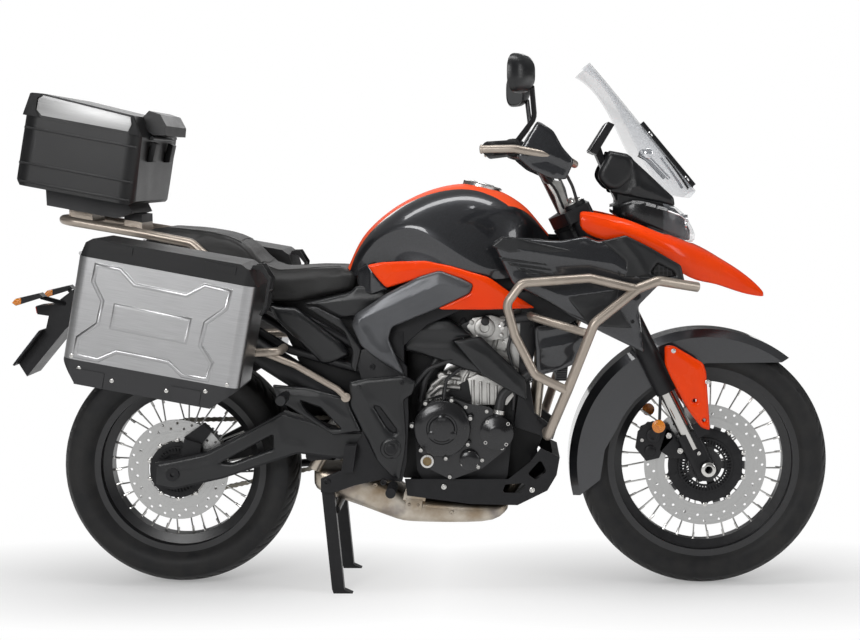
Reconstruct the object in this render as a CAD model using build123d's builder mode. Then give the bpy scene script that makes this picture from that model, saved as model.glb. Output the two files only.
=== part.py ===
from build123d import *
from math import cos, radians, sin, tan
import os

# Adventure motorcycle with hard cases, upright on its centre stand. Millimetres.
# X points forward, Y to the rider's left, Z up; the ground is Z = 0 and the origin
# lies under the middle of the whole machine. In the tables below x is counted from
# the rear axle, y from the middle plane and z from the ground.

# ---------------------------------------------------------------- main dimensions
wheelbase = 1385
front_tyre_r = 330
front_tyre_w = 110
front_seat_r = 241.3
rear_tyre_r = 312.5
rear_tyre_w = 160
rear_seat_r = 215.9
rear_lift = 4  # the rear tyre hangs this far above the ground on the stand
tail_reach = 432  # the number plate's lower edge lies this far behind the rear axle
rake = 26.5
axle_lead = 7  # wheel axle ahead of the legs' centre line
fork_offset = 45  # legs' centre line ahead of the steering axis
leg_y = 105
axle_r = 10
stem_r = 18
running_gap = 0.05  # radial clearance of shafts in their bores
seat_gap = 0.3  # clearance between a piece and the seat that carries it
overall_half_width = 430

front_axle_z = front_tyre_r
rear_axle_z = rear_tyre_r + rear_lift
rear_axle_x = (tail_reach - wheelbase - front_tyre_r) / 2
rake_sin = sin(radians(rake))
rake_cos = cos(radians(rake))
steer_back = axle_lead + fork_offset  # steering axis behind the wheel axle, square to it

# ---------------------------------------------------------------- sketch planes
bike = Plane(origin=(rear_axle_x, 0, 0))
front_axle_at = Vector(rear_axle_x + wheelbase, 0, front_axle_z)
rear_axle_at = Vector(rear_axle_x, 0, rear_axle_z)
fork_plane = Plane(
    origin=front_axle_at,
    x_dir=(rake_cos, 0, rake_sin),
    z_dir=(-rake_sin, 0, rake_cos),
)


def side(y):
    """Lengthwise plane seen from the right: x, z; extrudes to the right."""
    return Plane(origin=(rear_axle_x, y, 0), x_dir=(1, 0, 0), z_dir=(0, -1, 0))


def across(x):
    """Upright cross plane: y to the left, z up; extrudes forward."""
    return Plane(origin=(rear_axle_x + x, 0, 0), x_dir=(0, 1, 0), z_dir=(1, 0, 0))


def level(z):
    """Level plane: x, y; extrudes up."""
    return Plane(origin=(rear_axle_x, 0, z))


def wheel_plane(centre, y):
    """Plane square to an axle, centred on it; extrudes to the right."""
    return Plane(origin=centre + Vector(0, y, 0), x_dir=(1, 0, 0), z_dir=(0, -1, 0))


# ---------------------------------------------------------------- shared shapes
def plate(outline, y_out, y_in, bend=0.0, taper=0.0):
    """A lengthwise plate of one outline, from y_in out to y_out on the right side."""
    with BuildPart() as piece:
        with BuildSketch(side(-y_in)):
            with BuildLine():
                if bend > 0:
                    FilletPolyline(*outline, radius=bend, close=True)
                else:
                    Polyline(*outline, close=True)
            make_face()
        extrude(amount=y_out - y_in, taper=taper)
    return piece.part


def bent_tube(route, radius, bend):
    """A round tube along straight runs joined by arcs of one radius."""
    with BuildPart() as tube:
        with BuildLine(bike) as path:
            FilletPolyline(*route, radius=bend)
        with BuildSketch(Plane(path.line @ 0, z_dir=path.line % 0)):
            Circle(radius)
        sweep()
    return tube.part


def rod(start, end, radius):
    """A straight round bar between two points."""
    a = bike.from_local_coords(Vector(*start))
    b = bike.from_local_coords(Vector(*end))
    with BuildPart() as bar:
        with BuildSketch(Plane(a, z_dir=b - a)):
            Circle(radius)
        extrude(amount=(b - a).length)
    return bar.part


def spoke(start, end, radius):
    """A thin six-sided bar between two points."""
    with BuildPart() as bar:
        with BuildSketch(Plane(start, z_dir=end - start)):
            RegularPolygon(radius, 6)
        extrude(amount=(end - start).length)
    return bar.part


# ---------------------------------------------------------------- tyres
def tyre(centre, outer_r, width, seat_r):
    """A road tyre: beads, bulged side walls and a round crown, in conical bands."""
    half = width / 2
    wall_profile = (  # share of the half width, share of the height above the seat
        (0.62, 0.0), (0.62, 0.19), (1.0, 0.54), (0.97, 0.75), (0.66, 0.93), (0.0, 1.0),
    )
    height = outer_r - seat_r
    right = [(-half * share, seat_r + height * rise) for share, rise in wall_profile]
    left = [(-y, z) for y, z in reversed(right[:-1])]
    with BuildPart() as ring:
        with BuildSketch(Plane(centre, x_dir=(0, 1, 0), z_dir=(1, 0, 0))):
            with BuildLine():
                Polyline(*right, *left, close=True)
            make_face()
        revolve(axis=Axis(centre, (0, 1, 0)))
    return ring.part


with BuildPart() as front_tyre:
    add(tyre(front_axle_at, front_tyre_r, front_tyre_w, front_seat_r + seat_gap))

with BuildPart() as rear_tyre:
    add(tyre(rear_axle_at, rear_tyre_r, rear_tyre_w, rear_seat_r + seat_gap))

# ---------------------------------------------------------------- wire wheels
spoke_r = 2.2
spoke_count = 16  # on each side of a hub
spoke_lead = 22  # each spoke leaves its flange this many degrees off its own radius
rim_wall = 5
flange_h = 13


def wire_wheel(centre, seat_r, width, hub_r, hub_half, flange_y):
    """A drop-centre rim, crossed spokes and a bored hub in one piece."""
    half = width / 2 * 0.62 + seat_gap
    well_r = seat_r - 22
    foot_r = well_r - rim_wall
    spokes = []
    for flange_side in (-1, 1):
        for number in range(spoke_count):
            turn = 360 / spoke_count * (number + 0.25 * flange_side)
            lead = spoke_lead if number % 2 else -spoke_lead
            a = radians(turn + lead)
            b = radians(turn)
            hub_end = Vector((hub_r + 8) * cos(a), flange_side * flange_y, (hub_r + 8) * sin(a))
            rim_end = Vector((foot_r + 2) * cos(b), flange_side * half * 0.2, (foot_r + 2) * sin(b))
            spokes.append(spoke(centre + hub_end, centre + rim_end, spoke_r))
    with BuildPart() as wheel:
        with BuildSketch(Plane(centre, x_dir=(0, 1, 0), z_dir=(1, 0, 0))):
            with BuildLine():
                Polyline(
                    (-half - rim_wall, seat_r + flange_h),
                    (-half, seat_r + flange_h),
                    (-half, seat_r),
                    (-half * 0.6, seat_r),
                    (-half * 0.4, well_r),
                    (half * 0.4, well_r),
                    (half * 0.6, seat_r),
                    (half, seat_r),
                    (half, seat_r + flange_h),
                    (half + rim_wall, seat_r + flange_h),
                    (half + rim_wall, seat_r - rim_wall),
                    (half * 0.6, seat_r - rim_wall),
                    (half * 0.4, foot_r),
                    (-half * 0.4, foot_r),
                    (-half * 0.6, seat_r - rim_wall),
                    (-half - rim_wall, seat_r - rim_wall),
                    close=True,
                )
            make_face()
        revolve(axis=Axis(centre, (0, 1, 0)))
        with BuildSketch(wheel_plane(centre, hub_half)):
            Circle(hub_r)
        extrude(amount=2 * hub_half)
        for flange_side in (-1, 1):
            with BuildSketch(wheel_plane(centre, flange_side * flange_y + 3)):
                Circle(hub_r + 14)
            extrude(amount=6)
        add(spokes)
        with Locations(wheel_plane(centre, 0)):
            Hole(axle_r + running_gap)
    return wheel.part


front_hub_half = 52
rear_hub_half = 62
with BuildPart() as front_wire_wheel:
    add(wire_wheel(front_axle_at, front_seat_r, front_tyre_w, 26, front_hub_half, 34))

with BuildPart() as rear_wire_wheel:
    add(wire_wheel(rear_axle_at, rear_seat_r, rear_tyre_w, 34, rear_hub_half, 42))


# ---------------------------------------------------------------- brake discs
def brake_disc(centre, y, outer_r, width, holes, hub_r):
    """A drilled ring on a five-armed carrier, seated on the hub's end."""
    with BuildPart() as disc:
        with BuildSketch(wheel_plane(centre, y + 2)):
            Circle(outer_r)
            Circle(outer_r - width, mode=Mode.SUBTRACT)
            with PolarLocations(outer_r - width * 0.28, holes):
                Circle(3.6, mode=Mode.SUBTRACT)
            with PolarLocations(outer_r - width * 0.68, holes, start_angle=180 / holes):
                Circle(3.6, mode=Mode.SUBTRACT)
        extrude(amount=4)
        with BuildSketch(wheel_plane(centre, y + 2)):
            Circle(hub_r + 18)
            with PolarLocations((outer_r - width + hub_r) / 2 + 4, 5):
                Rectangle(outer_r - width - hub_r + 10, 20)
            Circle(axle_r + 6, mode=Mode.SUBTRACT)
        extrude(amount=4)
    return disc.part


front_disc_y = -72
rear_disc_y = -78
with BuildPart() as front_disc:
    add(brake_disc(front_axle_at, front_disc_y, 160, 36, 24, 26))
    with BuildSketch(wheel_plane(front_axle_at, front_disc_y + 2)):
        Circle(34)
        Circle(axle_r + 6, mode=Mode.SUBTRACT)
    extrude(amount=-(abs(front_disc_y) - 2 - front_hub_half - seat_gap))

with BuildPart() as rear_disc:
    add(brake_disc(rear_axle_at, rear_disc_y, 132.5, 34, 20, 34))
    with BuildSketch(wheel_plane(rear_axle_at, rear_disc_y + 2)):
        Circle(42)
        Circle(axle_r + 6, mode=Mode.SUBTRACT)
    extrude(amount=-(abs(rear_disc_y) - 2 - rear_hub_half - seat_gap))

# ---------------------------------------------------------------- rear sprocket and chain
chain_y = 97
rear_sprocket_r = 100
front_sprocket_r = 36
sprocket_teeth = 44
chain_gap = 1.5
chain_h = 13
front_sprocket_x = 628
front_sprocket_z = 392
with BuildPart() as rear_sprocket:
    with BuildSketch(wheel_plane(rear_axle_at, chain_y + 3)):
        Circle(rear_sprocket_r)
        with PolarLocations(rear_sprocket_r - 1, sprocket_teeth):
            Circle(4, mode=Mode.SUBTRACT)
        with PolarLocations(66, 6):
            Circle(13, mode=Mode.SUBTRACT)
        Circle(axle_r + 8, mode=Mode.SUBTRACT)
    extrude(amount=6)
    with BuildSketch(wheel_plane(rear_axle_at, chain_y - 3)):
        Circle(44)
        Circle(axle_r + 8, mode=Mode.SUBTRACT)
    extrude(amount=chain_y - 3 - rear_hub_half - seat_gap)

# ---------------------------------------------------------------- swingarm with its axle
arm_in = 112
arm_out = 144
axle_nut = 9
axle_bore = 6
plate_in = 146  # the frame's pivot plates stand just outside the swingarm
plate_out = 158
cover_depth = 12  # the pivot plates' moulded covers
pivot_x = 568
pivot_z = 391
arm_outline = [
    (592, 414), (430, 436), (288, 480), (200, 432), (84, 372), (10, 356), (-46, 346),
    (-50, 286), (0, 276), (130, 306), (325, 372), (430, 358), (592, 366),
]
with BuildPart() as swingarm:
    add(plate(arm_outline, arm_out, arm_in))
    with BuildSketch(side(-arm_in)):
        with BuildLine():
            Polyline((120, 345), (262, 424), (262, 382), (150, 342), close=True)
        make_face()
    extrude(amount=arm_out - arm_in, mode=Mode.SUBTRACT)
    mirror(about=Plane.XZ)
    with BuildSketch(side(arm_in)):
        with BuildLine():
            FilletPolyline((340, 346), (410, 350), (410, 402), (340, 398), radius=12, close=True)
        make_face()
    extrude(amount=2 * arm_in)
    for radius, half in ((20, arm_in), (14, plate_in - seat_gap)):
        with BuildSketch(side(half)):
            with Locations((pivot_x, pivot_z)):
                Circle(radius)
        extrude(amount=2 * half)
    for radius, half in ((axle_r, arm_out), (17, arm_out + axle_nut)):
        with BuildSketch(wheel_plane(rear_axle_at, half)):
            Circle(radius)
            if radius > axle_r:
                Circle(axle_r, mode=Mode.SUBTRACT)
        extrude(amount=2 * half if radius == axle_r else half - arm_out)
    with BuildSketch(wheel_plane(rear_axle_at, -arm_out)):
        Circle(17)
    extrude(amount=axle_nut)
    with BuildSketch(wheel_plane(rear_axle_at, arm_out + axle_nut)):
        Circle(axle_bore)
    extrude(amount=2 * (arm_out + axle_nut), mode=Mode.SUBTRACT)

# ---------------------------------------------------------------- main frame
spar_sections = (  # x, y, z, width, height
    (996, 76, 842, 30, 76),
    (800, 104, 738, 32, 86),
    (560, 132, 598, 26, 96),
)
pivot_outline = [
    (470, 640), (560, 652), (608, 600), (612, 470), (606, 350), (596, 270), (500, 270),
    (384, 272), (384, 308), (462, 330), (490, 420), (500, 540),
]
stand_x = 398
stand_z = 290
stand_pin_r = 8
side_pivot = Vector(500, 175, 300)
side_axis = Vector(0, -cos(radians(18)), -sin(radians(18)))  # tipped, so that the leg splays out
hanger_in = 78
hanger_out = 106
hanger_outline = [
    (905, 800), (952, 828), (946, 690), (922, 560), (936, 470), (992, 428), (984, 402), (882, 436), (893.5, 520), (898, 700),
]
with BuildPart() as main_frame:
    for x, y, z, width, height in spar_sections:
        with BuildSketch(across(x)):
            with Locations((-y, z)):
                Rectangle(width, height)
    loft(ruled=True)
    add(plate(pivot_outline, plate_out, plate_in, bend=14))
    add(plate([(520, 560), (600, 560), (600, 640), (520, 640)], plate_in, 100))
    add(plate(hanger_outline, hanger_out, hanger_in))
    add(plate([(940, 745), (1005.2, 752), (1003, 725), (940, 718)], 100, 88))
    add(plate([(880, 810), (910, 820), (910, 845.5), (880, 833.6)], 104, 80))
    add(rod((stand_x, -plate_in - 1, stand_z), (stand_x, -112, stand_z), stand_pin_r))
    mirror(about=Plane.XZ)
    add(rod((560, -plate_in, 600), (560, plate_in, 600), 18))
    add(rod(side_pivot + side_axis * 24, side_pivot - side_axis * 14, stand_pin_r))
    add(plate([(975, 806), (1082, 812), (1040, 900), (975, 878)], 24, -24))
    add(plate([(1050, 850), (1100, 872), (1179.7, 912), (1179.7, 985), (1120, 962), (1020, 935)], 26, -26))
    with BuildSketch(side(70)):
        with BuildLine():
            Polyline((972, 806), (996, 806), (996, 878), (972, 878), close=True)
        make_face()
    extrude(amount=140)
    with BuildSketch(fork_plane.offset(566)):
        with Locations((-steer_back, 0)):
            Circle(stem_r + 12)
    extrude(amount=158)
    with BuildSketch(fork_plane.offset(560)):
        with Locations((-steer_back, 0)):
            Circle(stem_r + running_gap)
    extrude(amount=170, mode=Mode.SUBTRACT)

with BuildPart() as subframe:
    rail = [(513.9, -120, 628), (330, -118, 728), (110, -112, 790), (-150, -100, 862)]
    strut = [(516.7, -130, 580), (300, -122, 640), (40, -112, 800)]
    add(bent_tube(rail, 12, 60))
    add(bent_tube(strut, 11, 60))
    mirror(about=Plane.XZ)
    for x, z in ((330, 728), (-130, 857)):
        add(rod((x, -112, z), (x, 112, z), 10))


# ---------------------------------------------------------------- rear shock absorber
shock_foot = Vector(385, 0, 402 + 8)
shock_head = Vector(560, 0, 600)
coil_count = 8
coil_pitch = 19
coil_r = 31
with BuildPart() as rear_shock:
    shock_len = (shock_head - shock_foot).length - 18 - seat_gap
    shock_dir = (shock_head - shock_foot).normalized()
    shock_at = Plane(origin=bike.from_local_coords(shock_foot), x_dir=(0, 1, 0), z_dir=shock_dir)
    coil_profile = [(0, 0), (12, 0), (12, 34)]
    for coil in range(coil_count):
        coil_profile += [(coil_r - 9, 40 + coil_pitch * coil), (coil_r, 45 + coil_pitch * coil)]
        coil_profile += [(coil_r, 49 + coil_pitch * coil), (coil_r - 9, 54 + coil_pitch * coil)]
    coil_profile += [(12, shock_len - 22), (12, shock_len), (0, shock_len)]
    with BuildSketch(Plane(shock_at.origin, x_dir=(0, 1, 0), z_dir=Vector(0, 1, 0).cross(shock_dir))):
        with BuildLine():
            Polyline(*coil_profile, close=True)
        make_face()
    revolve(axis=Axis(shock_at.origin, shock_dir))


# ---------------------------------------------------------------- engine
engine_half = 84
barrel_x = 826
barrel_z = 540
barrel_lean = 13
case_outline = [
    (628, 318), (660, 262), (820, 256), (866, 300), (880, 440),
    (barrel_x + 66, barrel_z - 66 * tan(radians(barrel_lean))),
    (barrel_x - 66, barrel_z + 66 * tan(radians(barrel_lean))),
    (700, 520), (640, 500), (622, 440),
]
with BuildPart() as engine_block:
    add(plate(case_outline, engine_half, -engine_half))
    add(rod((front_sprocket_x, 80, front_sprocket_z), (front_sprocket_x, chain_y - 4 - seat_gap, front_sprocket_z), 14))
    mount_outline = [(870, 436), (906, 442), (906, 470), (874, 470)]
    add(plate(mount_outline, hanger_in - seat_gap, seat_gap - hanger_in))

clutch_x = 697
clutch_z = 438
cover_outline = [
    (632, 400), (660, 330), (720, 300), (800, 330), (862, 380), (866, 450), (820, 490),
    (760, 500), (720, 516), (660, 506), (628, 460),
]
with BuildPart() as engine_covers:
    add(plate(cover_outline, 128, engine_half + seat_gap, bend=16))
    for x, z, radius, y_out in (
        (clutch_x, clutch_z, 74, 150),
        (clutch_x, clutch_z, 34, 156),
        (838, 426, 44, 146),
        (767, 354, 26, 142),
        (658, 350, 17, 136),
    ):
        with BuildSketch(side(-120)):
            with Locations((x, z)):
                Circle(radius)
        extrude(amount=y_out - 120, taper=8)
    left_outline = [(690, 340), (730, 310), (800, 330), (850, 400), (840, 480), (740, 505), (700, 480), (690, 440)]
    with BuildSketch(side(128)):
        with BuildLine():
            FilletPolyline(*left_outline, radius=18, close=True)
        make_face()
    extrude(amount=128 - engine_half - seat_gap)
    with BuildSketch(side(140)):
        with Locations((775, 420)):
            Circle(62)
    extrude(amount=30)

cylinder_at = Plane(
    origin=(rear_axle_x + barrel_x, 0, barrel_z),
    x_dir=(cos(radians(barrel_lean)), 0, -sin(radians(barrel_lean))),
    z_dir=(sin(radians(barrel_lean)), 0, cos(radians(barrel_lean))),
).offset(seat_gap)
with BuildPart() as cylinder:
    with BuildSketch(cylinder_at):
        RectangleRounded(112, 124, 14)
    extrude(amount=100)
    for fin in range(5):
        with BuildSketch(cylinder_at.offset(16 + 15 * fin)):
            RectangleRounded(124, 142, 18)
        extrude(amount=5)
    with BuildSketch(cylinder_at.offset(96)):
        RectangleRounded(130, 150, 18)
    extrude(amount=88)
    with BuildSketch(cylinder_at.offset(184)):
        RectangleRounded(126, 140, 22)
    extrude(amount=32, taper=12)
    for y_turn in (-1, 1):
        with BuildSketch(Plane(cylinder_at.from_local_coords((-20, y_turn * 66, 162)), z_dir=(0, y_turn, 0))):
            Circle(24)
        extrude(amount=10)

# ---------------------------------------------------------------- skid plate
skid_y = 110
header_r = 17
header_route = [(919.7, -10, 655), (957, -10, 646.4), (936, -14, 430), (905, -20, 300), (840, -20, 200)]
skid_outline = [
    (598, 298), (868, 298), (924, 343), (952, 380), (1002, 356), (994, 309), (970, 268),
    (892, 229), (770, 232), (604, 254),
]
skid_inner = [(590, 310), (880, 310), (936, 354), (960, 400), (992, 352), (984, 312), (962, 278), (890, 239), (770, 242), (590, 266)]
with BuildPart() as skid_plate:
    add(plate(skid_outline, skid_y, -skid_y))
    with BuildSketch(side(skid_y - 4)):
        with BuildLine():
            Polyline(*skid_inner, close=True)
        make_face()
    extrude(amount=2 * (skid_y - 4), mode=Mode.SUBTRACT)
    for cut in (
        [(918, 312), (952, 350), (968, 318), (940, 296)],
        [(852, 262), (900, 262), (916, 288), (860, 284)],
    ):
        with BuildSketch(side(skid_y + 5)):
            with BuildLine():
                FilletPolyline(*cut, radius=6, close=True)
            make_face()
        extrude(amount=2 * skid_y + 10, mode=Mode.SUBTRACT)
    add(bent_tube(header_route, header_r + 4, 30), mode=Mode.SUBTRACT)
    for x, z in ((700, 278), (815, 280)):
        for lug_side in (-1, 1):
            add(rod((x, lug_side * (engine_half + seat_gap), z), (x, lug_side * (skid_y - 2), z), 10))

# ---------------------------------------------------------------- exhaust
exhaust_outline = [(346, 322), (354, 282), (377, 261), (584, 184), (820, 184), (878, 222), (770, 224), (604, 246), (580, 300), (470, 318)]
with BuildPart() as exhaust:
    add(plate(exhaust_outline, 96, -70, bend=6))
    add(bent_tube(header_route, header_r, 30))

# ---------------------------------------------------------------- radiator
with BuildPart() as radiator:
    add(plate([(990, 560), (1018, 560), (1034, 752), (1006, 758)], 132, -132))

# ---------------------------------------------------------------- tank
tank_side = [
    (444, 836), (456, 880), (484, 933), (530, 980), (584, 1018), (640, 1046), (716, 1069),
    (770, 1072), (822, 1060), (898, 1028), (922, 1004), (976, 932), (966, 868), (870, 830),
    (700, 800), (500, 800),
]
tank_front = [
    (-62, 1080), (62, 1080), (128, 1030), (166, 950), (172, 880), (150, 780),
    (-150, 780), (-172, 880), (-166, 950), (-128, 1030),
]
tank_top = [
    (430, -80), (520, -128), (640, -168), (760, -176), (860, -168), (924, -128), (930, -56), (985, -22),
    (985, 22), (930, 56), (924, 128), (860, 168), (760, 176), (640, 168), (520, 128), (430, 80),
]
with BuildPart() as tank:
    with BuildSketch(side(180)):
        with BuildLine():
            FilletPolyline(*tank_side, radius=14, close=True)
        make_face()
    extrude(amount=360)
    with BuildSketch(across(400)):
        with BuildLine():
            FilletPolyline(*tank_front, radius=22, close=True)
        make_face()
    extrude(amount=620, mode=Mode.INTERSECT)
    with BuildSketch(level(700)):
        with BuildLine():
            FilletPolyline(*tank_top, radius=10, close=True)
        make_face()
    extrude(amount=420, mode=Mode.INTERSECT)

# ---------------------------------------------------------------- side trims
band_in = 174.3
band_out = 180
cover_out = 192
band_outline = [
    (509, 861), (582, 870), (657, 872), (721, 859), (819, 830), (872, 792), (936, 752), (819, 748),
    (697, 748), (690, 753), (684, 836), (558, 803), (541, 821),
]
spar_outline = [
    (479, 733), (689, 844), (747, 828), (779, 812), (770, 790), (692, 753), (572, 704), (563, 674),
    (604, 577), (568, 600), (533, 622), (492, 657), (470, 709),
]
pivot_cover_outline = [
    (461, 499), (458, 561), (502, 570), (599, 579), (632, 561), (622, 528), (599, 514), (602, 484),
    (606, 418), (601, 371), (588, 306), (565, 317), (530, 356),
]
pivot_slot = [(522, 499), (537, 496), (581, 436), (575, 427), (557, 442), (531, 484)]
with BuildPart() as side_bands:
    add(plate(band_outline, band_out, band_in))
    mirror(about=Plane.XZ)

with BuildPart() as side_covers:
    with BuildSketch(side(-band_out - seat_gap)):
        with BuildLine():
            Polyline(*spar_outline, close=True)
        make_face()
    extrude(amount=cover_out - band_out - seat_gap, taper=34)
    for x, z in ((546, 640), (520, 632)):
        add(rod((x, -plate_out - seat_gap, z), (x, -band_out - 2, z), 7))
    with BuildSketch(side(-plate_out - seat_gap)):
        with BuildLine():
            Polyline(*pivot_cover_outline, close=True)
        make_face()
    extrude(amount=cover_depth, taper=30)
    with BuildSketch(side(-plate_out - seat_gap - cover_depth / 2)):
        with BuildLine():
            Polyline(*pivot_slot, close=True)
        make_face()
    extrude(amount=cover_depth, mode=Mode.SUBTRACT)
    with BuildSketch(side(-plate_out - seat_gap)):
        with Locations((566, 389)):
            Circle(25)
    extrude(amount=cover_depth + 3, taper=12)
    mirror(about=Plane.XZ)

seat_panel_outline = [
    (251, 758), (285, 752), (322, 750), (353, 728), (440, 660), (461, 627), (411, 604), (387, 604),
    (328, 663), (272, 716),
]
rear_edge_outline = [(347, 755), (379, 754), (441, 722), (493, 648), (478, 584), (464, 600), (470, 640), (449, 690)]
with BuildPart() as seat_panels:
    add(plate(seat_panel_outline, 147, 137.7))
    add(plate(rear_edge_outline, 166, plate_out + seat_gap))
    mirror(about=Plane.XZ)

fairing_in = 184.3
fairing_out = 206
fairing_bevel = 12
fairing_outline = [
    (826, 920), (855, 934), (998, 924), (1061, 936), (1093, 923), (1161, 934), (1204, 906), (1241, 876),
    (1292, 849), (1304, 828), (1250, 815), (1196, 760), (1211, 640), (1106, 690), (1020, 735), (965, 770),
    (877, 815),
]
with BuildPart() as fairing:
    add(plate(fairing_outline, fairing_out - fairing_bevel, fairing_in))
    with BuildSketch(side(-fairing_out + fairing_bevel)):
        with BuildLine():
            Polyline(*fairing_outline, close=True)
        make_face()
    extrude(amount=fairing_bevel, taper=40)
    add(rod((940, -fairing_in - 2, 811), (940, -hanger_out - seat_gap, 811), 8))
    with BuildSketch(side(-fairing_out + 8)):
        with BuildLine():
            Polyline((1225, 843), (1242, 868), (1280, 848), (1288, 834), (1250, 830), close=True)
        make_face()
    extrude(amount=12, mode=Mode.SUBTRACT)
    mirror(about=Plane.XZ)

# ---------------------------------------------------------------- beak
beak_sections = (  # x, half width, lower edge, shoulder, crown
    (1046, 176, 955, 998, 1006),
    (1100, 182, 930, 992, 1000),
    (1200, 184, 926, 948, 958),
    (1268, 168, 874, 920, 942),
    (1350, 126, 822, 886, 914),
    (1420, 84, 800, 850, 876),
    (1494, 44, 776, 806, 828),
    (1544, 12, 770, 775, 782),
)
beak_inner = [
    (1030, -160), (1180, -170), (1258, -152), (1376, -70), (1390, 0), (1376, 70), (1258, 152),
    (1180, 170), (1030, 160),
]
with BuildPart() as beak:
    for x, half, low, shoulder, crown in beak_sections:
        with BuildSketch(across(x)):
            with BuildLine():
                Polyline(
                    (-half, low), (-half, shoulder), (-half * 0.55, crown), (half * 0.55, crown),
                    (half, shoulder), (half, low), close=True,
                )
            make_face()
    loft(ruled=True)
    with BuildSketch(level(700)):
        with BuildLine():
            Polyline(*beak_inner, close=True)
        make_face()
    extrude(amount=400, mode=Mode.SUBTRACT)

# ---------------------------------------------------------------- headlight, screen, display
screen_lean = 40.3
screen_wall = 4
screen_plane = Plane(
    origin=(rear_axle_x + 1359, 0, 1048),
    x_dir=(0, 1, 0),
    z_dir=(-sin(radians(screen_lean)), 0, cos(radians(screen_lean))),
)
screen_sections = (  # distance up the slope, half width, depth of the curve
    (0, 70, 26),
    (94, 148, 70),
    (219, 168, 50),
    (432, 174, 36),
)


def curved_sheet(front, back):
    """The screen's curved form, from one depth behind its front face to another."""
    with BuildPart() as sheet:
        for up_slope, half, depth in screen_sections:
            with BuildSketch(screen_plane.offset(up_slope)):
                with BuildLine():
                    outer = ThreePointArc((-half, depth + front), (0, front), (half, depth + front))
                    inner = ThreePointArc((-half, depth + back), (0, back), (half, depth + back))
                    Line(outer @ 0, inner @ 0)
                    Line(outer @ 1, inner @ 1)
                make_face()
        loft()
    return sheet.part


with BuildPart() as windscreen:
    add(curved_sheet(0, screen_wall))

lamp_back = 1180
cowl_outline = [
    (1148, 1012), (1148, 1045), (1186, 1088), (1191, 1115), (1223, 1105), (1297, 1034), (1340, 1040),
    (1340, 1008), (1202, 1010),
]
shroud_outline = [(1116, 1146), (1190, 1131), (1190, 1085), (1150, 1040), (1118, 1048), (1096, 1088)]
with BuildPart() as headlight:
    for x, y_half, z, height in ((lamp_back, 118, 975, 120), (1270, 104, 970, 128), (1330, 62, 965, 80)):
        with BuildSketch(across(x)):
            with Locations((0, z)):
                RectangleRounded(2 * y_half, height, 22)
    loft()
    add(plate(cowl_outline, 86, -86))
    add(plate(shroud_outline, 92, 80))
    add(plate(shroud_outline, -80, -92))
    add(curved_sheet(-120, screen_wall + seat_gap), mode=Mode.SUBTRACT)
    add(rod((1215, -160.6, 942), (1215, 160.6, 942), 8))

with BuildPart() as headlight_lens:
    for x, y_half, z, height in ((1330 + seat_gap, 62, 965, 80), (1358, 40, 962, 60)):
        with BuildSketch(across(x)):
            with Locations((0, z)):
                RectangleRounded(2 * y_half, height, 18)
    loft()

with BuildPart() as display:
    add(plate([(1078, 1147), (1094, 1140), (1140, 1217), (1124, 1224)], 84, -84))
    add(plate([(1094, 1142), (1108, 1160), (1148 - seat_gap, 1043), (1148 - seat_gap, 1022)], 40, -40))

# ---------------------------------------------------------------- seat
seat_side = [
    (442, 834.6), (476.4, 814.8), (466, 792), (333, 768), (294, 760), (140, 800), (-40, 884), (-74, 930), (-70, 960),
    (110, 946), (184, 912), (222, 868), (258, 842), (326, 836),
]
seat_top = [(500, -60), (440, -96), (330, -150), (250, -150), (100, -128), (-80, -112), (-80, 112), (100, 128), (250, 150), (330, 150), (440, 96), (500, 60)]
with BuildPart() as seat:
    add(plate(seat_side, 160, -160))
    with BuildSketch(level(700)):
        with BuildLine():
            FilletPolyline(*seat_top, radius=24, close=True)
        make_face()
    extrude(amount=300, mode=Mode.INTERSECT)

# ---------------------------------------------------------------- rack with the cases' carrier
rack_r = 12
case_in = 236
case_tilt = 10.5
case_cos = cos(radians(case_tilt))
case_sin = sin(radians(case_tilt))
rail_route = [
    (170, -126, 773), (170, -154, 773), (124, -154, 858), (60, -148, 915), (-60, -136, 938),
    (-280, -120, 974), (-280, 0, 974),
]
carrier_y = case_in - rack_r - seat_gap
carrier_route = [(230, -128, 756), (230, -carrier_y, 756), (-110, -carrier_y, 851), (-110, -114.5, 851)]
carrier_low = [
    (290, -133.4, 645), (290, -carrier_y, 645), (80, -carrier_y, 640), (-90, -carrier_y, 690), (-90, -carrier_y, 845),
]
case_corner = (-199, 653)


def case_side(y):
    """Lengthwise plane of a side case, tipped nose-down with it."""
    return Plane(
        origin=(rear_axle_x + case_corner[0], y, case_corner[1]),
        x_dir=(case_cos, 0, -case_sin),
        z_dir=(0, -1, 0),
    )


top_case_half = 215
top_corner = (-366, 1080)
top_shell_outline = [(0, 0), (14, -14), (290, -14), (300, -4), (294, 158), (-4, 158)]
top_lid_outline = [(-4, 158), (294, 158), (270, 207), (41, 220), (6, 217)]


def top_side(y):
    """Lengthwise plane of the top case, tipped nose-down with it."""
    return Plane(
        origin=(rear_axle_x + top_corner[0], y, top_corner[1]),
        x_dir=(case_cos, 0, -case_sin),
        z_dir=(0, -1, 0),
    )


with BuildPart() as rear_rack:
    add(bent_tube(rail_route, rack_r, (14, 28, 28, 28, 40)))
    add(bent_tube(carrier_route, rack_r, 24))
    add(bent_tube(carrier_low, rack_r - 1, 24))
    mirror(about=Plane.XZ)
    add(rod((-108, -132, 946), (-108, 132, 946), 10))
    add(plate([(-132, 940), (-86, 940), (-86, 985), (-132, 990)], 60, -60))
    add(plate([(-275, 974), (-215, 966), (-215, 1005), (-275, 1015)], 60, -60))
    with BuildSketch(top_side(110)):
        with BuildLine():
            Polyline((50, -14 - seat_gap), (262, -14 - seat_gap), (280, -40), (240, -60), (60, -60), close=True)
        make_face()
    extrude(amount=220)

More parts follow.
